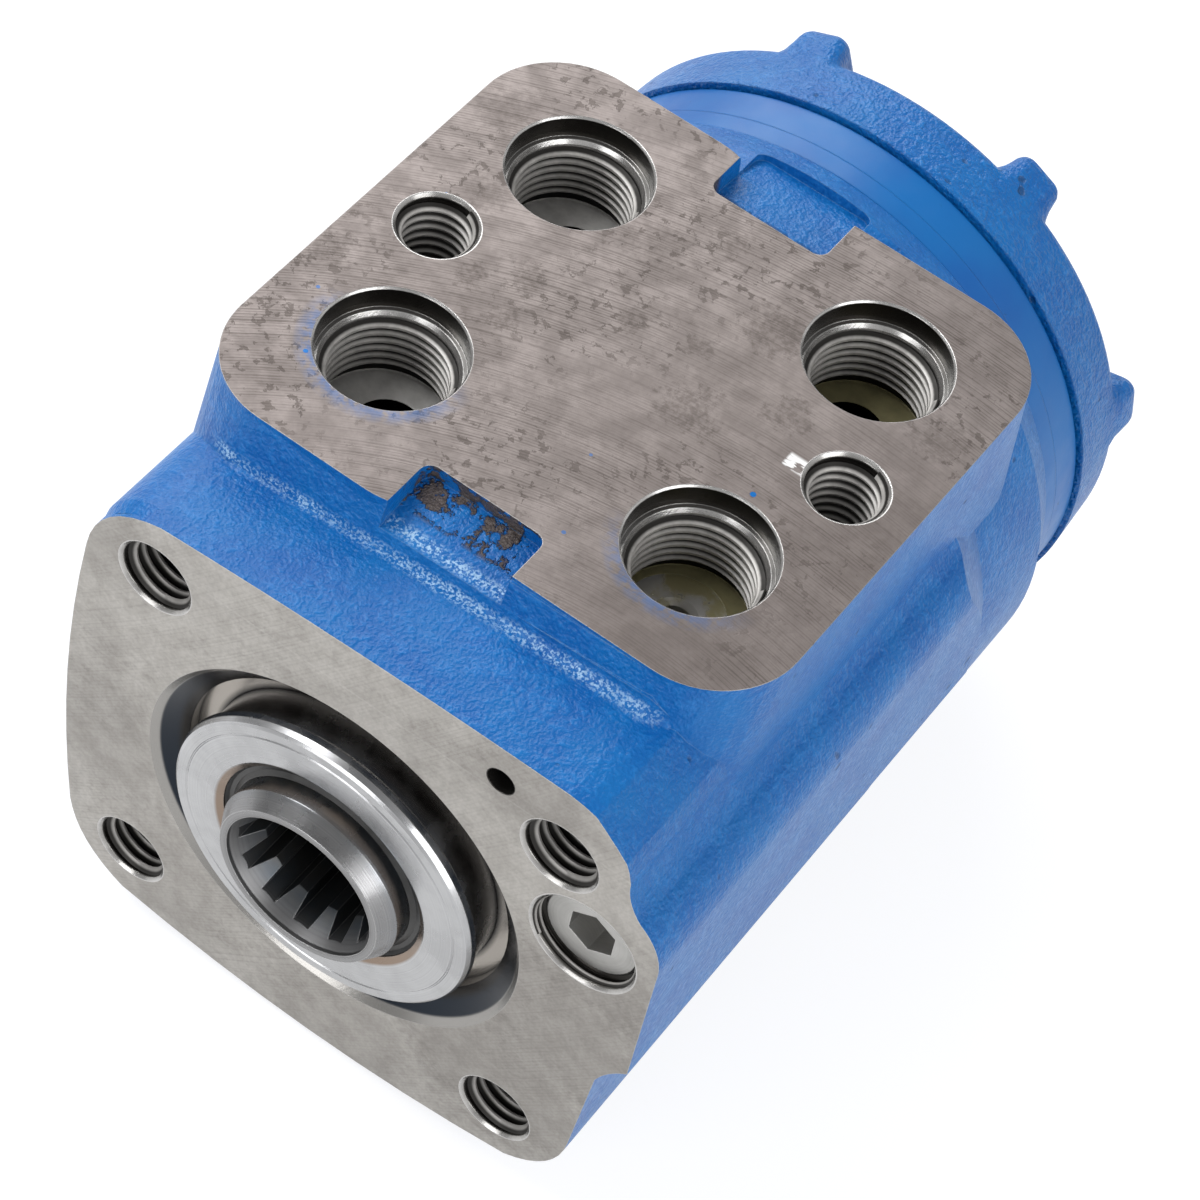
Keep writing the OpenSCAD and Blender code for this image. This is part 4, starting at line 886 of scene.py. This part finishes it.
        # Painted shade on the mounting face, away from its lit top.
        under = self.marks(finish, FRONT_SHADE, ragged, 1.4, 0.5, HoleWay.FRONT)
        iron = g.mix(g.math("MULTIPLY", under, g.math("SUBTRACT", 1.0, top)), iron, c.iron_dark)
        smear = g.band(g.noise(p, 75.0, 3.0, 0.6), 0.5, 0.75)
        iron = g.mix(g.math("MULTIPLY", smear, 0.22), iron, c.iron_dark)
        dots = self.marks(finish, TOP_DOTS, g.noise(p, 1300.0, 2.0, 0.5), 0.5, 0.08)
        stray = g.math("MULTIPLY", g.most(self.overspray(finish), dots), top)
        iron = g.mix(stray, iron, c.paint)
        iron = g.mix(g.math("MULTIPLY", self.scuff(finish), top), iron, c.rub_and_rim_highlight)
        lines = g.blend(top, g.math("MULTIPLY", mill_front.outputs["Height"], 0.04),
                        g.math("MULTIPLY", mill_top.outputs["Height"], 0.20))
        return iron, g.math("SUBTRACT", lines, g.math("MULTIPLY", small, 0.15)), cloud

    def marks(self, finish: Finish, found: tuple[Mark, ...], ragged: bpy.types.NodeSocket,
              rough: float, soft: float, way: HoleWay = HoleWay.UP) -> bpy.types.NodeSocket:
        """Marks of a face at their places, with ragged outlines: stains, dots of stray paint, and painted
        shade on the mounting face.

        Args:
            finish: The housing's finish.
            found: The stains.
            ragged: Noise that breaks their outlines.
            rough: Weight of that noise.
            soft: Width of the fade at the outline, as a share of the radius.
            way: Which way the face looks.

        Returns:
            The mask.
        """
        g = finish.graph
        tear = g.math("MULTIPLY", g.math("SUBTRACT", ragged, 0.5), rough)
        masks = []
        for mark in found:
            place = (mark.u * MM, mark.v * MM, 0.0) if way is HoleWay.UP else (mark.u * MM, 0.0, mark.v * MM)
            reach = finish.zone(place, way, 1.0, 0.0, 1.0).outputs["Distance"]
            edge = g.math("ADD", g.math("DIVIDE", reach, mark.radius * MM), tear)
            masks.append(g.band(edge, 0.62, 0.62 + soft, mark.strength, 0.0))
        return g.most(*masks)

    def scuff(self, finish: Finish) -> bpy.types.NodeSocket:
        """Bright scuff beside the right bolt hole of the port face."""
        g, p = finish.graph, finish.place
        x, y, _ = g.split(p)
        area = g.math("MULTIPLY", g.within(x, 0.0222, 0.0258, 0.0003), g.within(y, 0.0505, 0.0523, 0.0004))
        streak = g.noise(g.vector("MULTIPLY", p, (0.3, 1.0, 1.0)), 1500.0, 2.0, 0.5)
        return g.math("MULTIPLY", area, g.band(streak, 0.45, 0.52))

    def overspray(self, finish: Finish) -> bpy.types.NodeSocket:
        """Paint that has crept over the face at the front of the two front ports.

        Args:
            finish: The housing's finish.

        Returns:
            The mask of the stray paint.
        """
        g, p, s = finish.graph, finish.place, self.sizes
        x, y, _ = g.split(p)
        rings = []
        for at in (-s.port_x, s.port_x):
            reach = finish.zone((at, s.port_front_y, 0.0), HoleWay.UP, 1.0, 0.0, 1.0).outputs["Distance"]
            rings.append(g.math("MULTIPLY", g.band(reach, 0.0094, 0.0096), g.band(reach, 0.0118, 0.0098)))
        patchy = g.band(g.noise(p, 700.0, 3.0, 0.7), 0.38, 0.55)
        side = g.band(g.math("ADD", y, g.math("MULTIPLY", x, 0.12)), 0.0335, 0.0262)
        return g.math("MULTIPLY", g.math("MULTIPLY", g.most(*rings), patchy), g.math("MULTIPLY", side, 0.42))

    def turned(self, name: str, colour: Colour, rough: float, pitch: float,
               centre: Point = (0.0, 0.0, 0.0), brown: float = 0.0) -> bpy.types.Material:
        """Bright steel with turning marks and painted highlights on its edges.

        Args:
            name: The material's name.
            colour: Its colour.
            rough: Mean roughness.
            pitch: Distance between marks in metres.
            centre: A point on the turning axis.
            brown: Radius within which old oil has tinted it, or zero.

        Returns:
            The material.
        """
        finish = Finish(name, Metallic=1.0)
        g, p = finish.graph, finish.place
        lines = g.group(Layer.TURNED, Position=p, Centre=centre, Pitch=pitch)
        smudge = g.band(g.noise(p, 160.0, 3.0, 0.6), 0.35, 0.7, smooth=True)
        darker = (colour[0] * 0.72, colour[1] * 0.72, colour[2] * 0.72, 1.0)
        tone = g.math("ADD", g.math("MULTIPLY", lines.outputs["Tone"], 0.35), g.math("MULTIPLY", smudge, 0.4))
        rim = g.group(Layer.WEAR_AND_HIGHLIGHT, Position=p, Radius=0.0002, Grain=1500.0, Break=0.2)
        base = g.mix(tone, colour, darker)
        if brown:
            x, _, z = g.split(g.vector("SUBTRACT", p, centre))
            base = g.mix(g.band(g.vector("LENGTH", g.join(x, 0.0, z)), brown, brown - 0.0003), base,
                         self.colours.brown)
        # Painted highlight: near-white colour along the outer edges.
        finish.link(Base_Color=g.mix(g.math("MULTIPLY", rim.outputs["Mask"], 0.4), base, self.colours.rub_and_rim_highlight),
                    Roughness=g.band(smudge, 0.0, 1.0, rough - 0.06, rough + 0.1))
        finish.bump(lines.outputs["Height"], 0.000006, 1.0, finish.rounded(0.00015))
        return finish.material

    def tinted_spool(self) -> bpy.types.Material:
        """Spool steel: blue heat tint at the neck's foot, painted shade inside its spline, and painted
        highlights on its edges.
        """
        finish = Finish("SpoolSteel", Metallic=1.0)
        g, p, c = finish.graph, finish.place, self.colours
        x, y, z = g.split(p)
        reach = g.vector("LENGTH", g.join(x, 0.0, z))
        lines = g.group(Layer.TURNED, Position=p, Centre=(0.0, 0.0, 0.0), Pitch=0.00022)
        patch = g.noise(p, 260.0, 3.0, 0.6)
        base = g.mix(g.math("MULTIPLY", lines.outputs["Tone"], 0.4), c.ground, c.turned_line)
        foot = g.band(g.math("ADD", y, g.math("MULTIPLY", patch, 0.002)), -0.0046, -0.0016, smooth=True)
        tint = g.mix(patch, c.heat_blue, c.heat_straw)
        base = g.mix(g.math("MULTIPLY", foot, 0.8), base, tint)
        pits = g.group(Layer.STAIN, Position=p, Scale=300.0, Limit=0.68, Soft=0.03)
        base = g.mix(g.math("MULTIPLY", pits.outputs["Mask"], 0.7), base, c.steel_pit)
        # Painted shade: the spline bore darkens towards near black, more so deeper in.
        inside = g.band(reach, 0.0111, 0.0109)
        dark = g.band(y, -0.0056, 0.004, 0.25, 0.8)
        base = g.mix(g.math("MULTIPLY", inside, dark), base, c.spline_shade)
        rim = g.group(Layer.WEAR_AND_HIGHLIGHT, Position=p, Radius=0.00025, Grain=1500.0, Break=0.2)
        # Painted highlight: near-white colour along the spool's edges and lip.
        base = g.mix(g.math("MULTIPLY", rim.outputs["Mask"], 0.5), base, c.neck_rim_highlight)
        finish.link(Base_Color=base, Roughness=g.blend(inside, g.band(patch, 0.3, 0.7, 0.2, 0.34), 0.48))
        finish.bump(lines.outputs["Height"], 0.000008, 1.0, finish.rounded(0.0002))
        return finish.material

    def cut_thread(self) -> bpy.types.Material:
        """Tapped thread: bright crests over near-black roots, partly oil and partly painted shade; the crests
        dim deeper in as painted shade.
        """
        finish = Finish("CutThread", Metallic=0.45)
        g, p, c = finish.graph, finish.place, self.colours
        crest = finish.graph.node("ShaderNodeAttribute", attribute_name="crest").outputs["Fac"]
        worn = g.band(g.noise(p, 700.0, 3.0, 0.6), 0.3, 0.7)
        share = g.math("MULTIPLY", g.band(crest, 0.45, 0.85, smooth=True), g.blend(worn, 0.7, 1.0))
        _, y, z = g.split(p)
        front = g.math("LESS_THAN", z, PORTS_ABOVE)
        depth = g.blend(front, g.math("SUBTRACT", self.sizes.port_z, z), y)
        # Painted shade: the crests dim deeper in the hole.
        share = g.math("MULTIPLY", share, g.band(depth, 0.004, 0.014, 1.0, 0.55))
        share = g.math("MULTIPLY", share, g.blend(front, 1.0, 0.6))
        finish.link(Base_Color=g.mix(share, c.root, c.crest), Roughness=g.blend(worn, 0.40, 0.56))
        finish.bump(g.noise(p, 1600.0, 2.0), 0.00002, 1.0)
        return finish.material

    def oily_seat(self) -> bpy.types.Material:
        """Check valve seat under a film of old oil."""
        finish = Finish("OilySeat", Metallic=0.6, Coat_Roughness=0.05)
        g, p, c = finish.graph, finish.place, self.colours
        film = g.band(g.noise(p, 240.0, 3.0, 0.6), 0.4, 0.6, smooth=True)
        finish.link(Base_Color=g.mix(film, c.floor, c.seat_oil), Roughness=g.blend(film, 0.2, 0.34),
                    Coat_Weight=g.math("MULTIPLY", film, 0.8))
        finish.bump(g.noise(p, 500.0, 2.0), 0.00003, 1.0)
        return finish.material

    def seal_rubber(self) -> bpy.types.Material:
        """Black rubber, wet with oil."""
        finish = Finish("SealRubber", Metallic=0.0, Coat_Roughness=0.08)
        g, p = finish.graph, finish.place
        dust = g.band(g.noise(p, 420.0, 3.0, 0.6), 0.4, 0.7)
        finish.link(Base_Color=g.mix(g.math("MULTIPLY", dust, 0.5), self.colours.black, self.colours.dust),
                    Roughness=g.blend(dust, 0.3, 0.6), Coat_Weight=g.math("MULTIPLY", dust, 0.4))
        finish.bump(g.noise(p, 900.0, 2.0), 0.00002, 1.0)
        return finish.material


@dataclass
class TappedHoles:
    """Threads in the ports, the bolt holes and the relief valve's mouth."""

    sizes: Sizes
    steps: int = 56
    pieces: list[bpy.types.Object] = field(default_factory=list)

    def threads(self) -> list[Thread]:
        """Lists every thread that shows."""
        s = self.sizes
        found = [Thread(f"port_thread_{i + 1}", m, HoleWay.UP, ThreadForm.PIPE, s.port_r, 7.475 * MM,
                        1.337 * MM, 4.1 * MM, 8.1 * MM) for i, m in enumerate(s.ports())]
        found += [Thread(f"column_thread_{i + 1}", m, HoleWay.FRONT, ThreadForm.METRIC, s.bolt_r,
                         4.19 * MM, 1.5 * MM, 0.9 * MM, 15.3 * MM) for i, m in enumerate(s.column_holes())]
        found += [Thread(f"top_thread_{i + 1}", m, HoleWay.UP, ThreadForm.METRIC, s.bolt_r,
                         4.19 * MM, 1.5 * MM, 0.9 * MM, 13.8 * MM) for i, m in enumerate(s.top_holes())]
        found.append(Thread("relief_thread", s.relief, HoleWay.FRONT, ThreadForm.METRIC, 7.1 * MM,
                            6.72 * MM, 0.75 * MM, 0.5 * MM, 1.2 * MM))
        return found

    def ridge(self, thread: Thread) -> bpy.types.Object:
        """Spins one thread's ridge as a coil that stands on the bore's wall.

        Args:
            thread: The thread.

        Returns:
            The piece, in place.
        """
        flat, points = thread.form.value
        turns = thread.length / thread.pitch
        wall = thread.major_r + 0.00004
        half = thread.pitch * 0.49
        bm = bmesh.new()
        tops = [(-flat / 2 + flat * k / (points - 1)) * thread.pitch for k in range(points)]
        rise = [0.00006 * math.sin(math.pi * k / (points - 1)) for k in range(points)]
        outline = [(wall, -half)] + [(thread.minor_r - r, t) for r, t in zip(rise, tops)] + [(wall, half)]
        corners = [bm.verts.new((r, 0.0, t)) for r, t in outline]
        edges = [bm.edges.new((a, b)) for a, b in zip(corners, corners[1:] + corners[:1])]
        total = round(self.steps * turns)
        bmesh.ops.spin(bm, geom=corners + edges, cent=(0, 0, 0), axis=(0, 0, 1),
                       dvec=(0, 0, thread.length / total), angle=math.tau * turns, steps=total,
                       use_merge=False, use_duplicate=False)
        bmesh.ops.holes_fill(bm, edges=[e for e in bm.edges if e.is_boundary], sides=0)
        bmesh.ops.recalc_face_normals(bm, faces=bm.faces)
        self.fade(bm, thread, wall)
        bmesh.ops.translate(bm, verts=bm.verts, vec=(0, 0, -thread.start - thread.length))
        bm.transform(thread.matrix())
        return self.finish(bm, thread)

    @staticmethod
    def fade(bm: bmesh.types.BMesh, thread: Thread, wall: float) -> None:
        """Runs the ridge out at both ends and marks its crest.

        Args:
            bm: The coil, from z 0 to the thread's length.
            thread: The thread.
            wall: Radius of the ridge's foot.
        """
        crest = bm.verts.layers.float.new("crest")
        reach = wall - thread.minor_r
        for v in bm.verts:
            r = math.hypot(v.co.x, v.co.y)
            v[crest] = (wall - r) / reach
            near = min(v.co.z + thread.pitch / 2, thread.length + thread.pitch / 2 - v.co.z)
            share = min(1.0, max(0.03, near / (0.9 * thread.pitch)))
            now = (wall - (wall - r) * share) / r
            v.co.x *= now
            v.co.y *= now

    def finish(self, bm: bmesh.types.BMesh, thread: Thread) -> bpy.types.Object:
        """Turns the bmesh into a piece with smooth flanks.

        Args:
            bm: The finished coil.
            thread: The thread.

        Returns:
            The piece.
        """
        for face in bm.faces:
            face.smooth = True
        for edge in bm.edges:
            edge.smooth = edge.calc_face_angle(math.pi) < math.radians(35)
        return make_piece(bm, thread.name)

    def build(self, finishes: Finishes) -> None:
        """Makes every thread and dresses it.

        Args:
            finishes: The unit's materials.
        """
        for thread in self.threads():
            piece = self.ridge(thread)
            piece.data.materials.append(finishes.thread)
            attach(piece, "housing")
            self.pieces.append(piece)
            LOG.info("%s: %d faces", piece.name, len(piece.data.polygons))


def make_piece(bm: bmesh.types.BMesh, name: str) -> bpy.types.Object:
    """Turns a bmesh into an object of the scene.

    Args:
        bm: The finished bmesh, which is freed.
        name: The piece's name.

    Returns:
        The new object.
    """
    mesh = bpy.data.meshes.new(name)
    bm.to_mesh(mesh)
    bm.free()
    piece = bpy.data.objects.new(name, mesh)
    bpy.context.scene.collection.objects.link(piece)
    return piece


@dataclass
class FrameNodes:
    """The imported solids, dressed with the unit's finishes."""

    nodes: dict[str, bpy.types.Object]

    def table(self, f: Finishes) -> dict[str, bpy.types.Material]:
        """Says which finish each node takes.

        Args:
            f: The unit's materials.

        Returns:
            The finish for each node's name.
        """
        rubber = ("wiper_seal", "shaft_seal", "gland_o_ring", "housing_o_ring", "plate_o_ring",
                  "cover_o_ring", "plug_seal")
        dark = ("flat_springs", "curved_springs", "relief_spring", "cover_screws", "pin_screw")
        chosen = {name: f.steel for name in self.nodes}
        chosen.update({name: f.rubber for name in rubber})
        chosen.update({name: f.dark for name in dark})
        chosen.update({"housing": f.housing, "end_cover": f.cover, "gear_ring": f.band,
                       "distribution_plate": f.band, "gland": f.gland, "spool": f.spool,
                       "relief_plug": f.plug, "check_seat": f.seat, "needle_cage": f.cage,
                       "screw_washers": f.washer})
        return chosen

    def dress(self, finishes: Finishes) -> None:
        """Gives every node its finish.

        Args:
            finishes: The unit's materials.
        """
        for name, material in self.table(finishes).items():
            node = self.nodes[name]
            if node.material_slots:
                for place in node.material_slots:
                    place.material = material
            else:
                node.data.materials.append(material)
            LOG.info("%s: %s", name, material.name)


@dataclass
class Studio:
    """Camera, floor, world and lamps."""

    camera_at: Point = (0.1219165, -0.2133608, 0.3788820)
    camera_turn: Point = (36.7493, -8.5086, 35.3303)
    lens: float = 112.157
    floor_z: float = -0.0424
    centre: Point = (0.0, 0.055, 0.0)

    def build(self) -> None:
        """Builds the whole studio."""
        self.camera()
        self.floor()
        self.world()
        self.lamp("KeyLamp", (-0.56, -0.04, 0.74), 0.45, 4.1)
        self.lamp("FrontLamp", (-0.20, -0.85, 0.30), 0.5, 2.4)
        self.lamp("FillLamp", (0.75, -0.15, 0.35), 0.6, 3.6)
        self.lamp("BackLamp", (-0.50, 0.58, 0.50), 0.7, 4.4)
        view = bpy.context.scene.view_settings
        view.view_transform = "Standard"

    def camera(self) -> None:
        """Makes the camera at the photograph's place."""
        data = bpy.data.cameras.new("PhotoCamera")
        data.lens = self.lens
        data.sensor_width = 36.0
        data.clip_start = 0.01
        data.clip_end = 10.0
        made = bpy.data.objects.new("PhotoCamera", data)
        made.location = self.camera_at
        made.rotation_euler = Euler([math.radians(a) for a in self.camera_turn], "XYZ")
        bpy.context.scene.collection.objects.link(made)
        bpy.context.scene.camera = made

    def floor(self) -> None:
        """Makes the pale floor, white to the camera, with a soft shadow."""
        bm = bmesh.new()
        bmesh.ops.create_circle(bm, cap_ends=True, segments=64, radius=6.0)
        bmesh.ops.translate(bm, verts=bm.verts, vec=(0, 0, self.floor_z))
        mesh = bpy.data.meshes.new("Floor")
        bm.to_mesh(mesh)
        bm.free()
        floor = bpy.data.objects.new("Floor", mesh)
        bpy.context.scene.collection.objects.link(floor)
        material = bpy.data.materials.new("PaleFloor")
        material.use_nodes = True
        g = Graph(material.node_tree)
        material.node_tree.nodes.remove(material.node_tree.nodes["Principled BSDF"])
        out = material.node_tree.nodes["Material Output"]
        path = g.node("ShaderNodeLightPath")
        seen = g.most(path.outputs["Is Camera Ray"], path.outputs["Is Glossy Ray"])
        cloth = g.node("ShaderNodeBsdfDiffuse")
        g.plug(g.mix(seen, (0.72, 0.72, 0.72, 1.0), (0.30, 0.30, 0.30, 1.0)), cloth.inputs["Color"])
        glow = g.node("ShaderNodeEmission")
        g.plug(g.math("ADD", g.math("MULTIPLY", path.outputs["Is Camera Ray"], 0.82),
                      g.math("MULTIPLY", path.outputs["Is Glossy Ray"], 0.68)), glow.inputs["Strength"])
        both = g.node("ShaderNodeAddShader")
        g.plug(cloth.outputs[0], both.inputs[0])
        g.plug(glow.outputs[0], both.inputs[1])
        g.plug(both.outputs[0], out.inputs["Surface"])
        mesh.materials.append(material)

    def world(self) -> None:
        """Makes the world: white behind the object, softer as a light."""
        world = bpy.data.worlds.new("Studio")
        bpy.context.scene.world = world
        world.use_nodes = True
        g = Graph(world.node_tree)
        back = world.node_tree.nodes["Background"]
        path = g.node("ShaderNodeLightPath")
        where = g.node("ShaderNodeTexCoord").outputs["Generated"]
        x, y, z = g.split(where)
        sky = g.math("MULTIPLY", g.band(z, 0.0, 1.0, 0.85, 0.35), g.band(x, -0.6, 0.7, 0.55, 1.0))
        glossy = g.math("MULTIPLY", path.outputs["Is Glossy Ray"], sky)
        plain = g.math("MULTIPLY", g.math("SUBTRACT", 1.0, g.most(path.outputs["Is Camera Ray"],
                                                                  path.outputs["Is Glossy Ray"])), 0.36)
        g.plug(g.math("ADD", path.outputs["Is Camera Ray"], g.math("ADD", glossy, plain)),
               back.inputs["Strength"])
        back.inputs["Color"].default_value = (1.0, 1.0, 1.0, 1.0)

    def lamp(self, name: str, at: Point, size: float, power: float) -> None:
        """Adds a soft square lamp that looks at the object.

        Args:
            name: The lamp's name.
            at: Its place.
            size: Its side.
            power: Its power in watts.
        """
        data = bpy.data.lights.new(name, "AREA")
        data.size = size
        data.energy = power
        made = bpy.data.objects.new(name, data)
        made.location = at
        made.rotation_mode = "QUATERNION"
        made.rotation_quaternion = (Vector(self.centre) - Vector(at)).to_track_quat("-Z", "Y")
        bpy.context.scene.collection.objects.link(made)


def main() -> None:
    """Builds the unit in order and reports each piece."""
    logging.basicConfig(level=logging.INFO, format="%(message)s")
    for unwanted in list(bpy.data.objects):
        bpy.data.objects.remove(unwanted)
    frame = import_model()
    Studio().build()
    sizes = Sizes()
    finishes = Finishes(sizes, Palette())
    FrameNodes(frame["nodes"]).dress(finishes)
    TappedHoles(sizes).build(finishes)


if __name__ == "__main__":
    main()
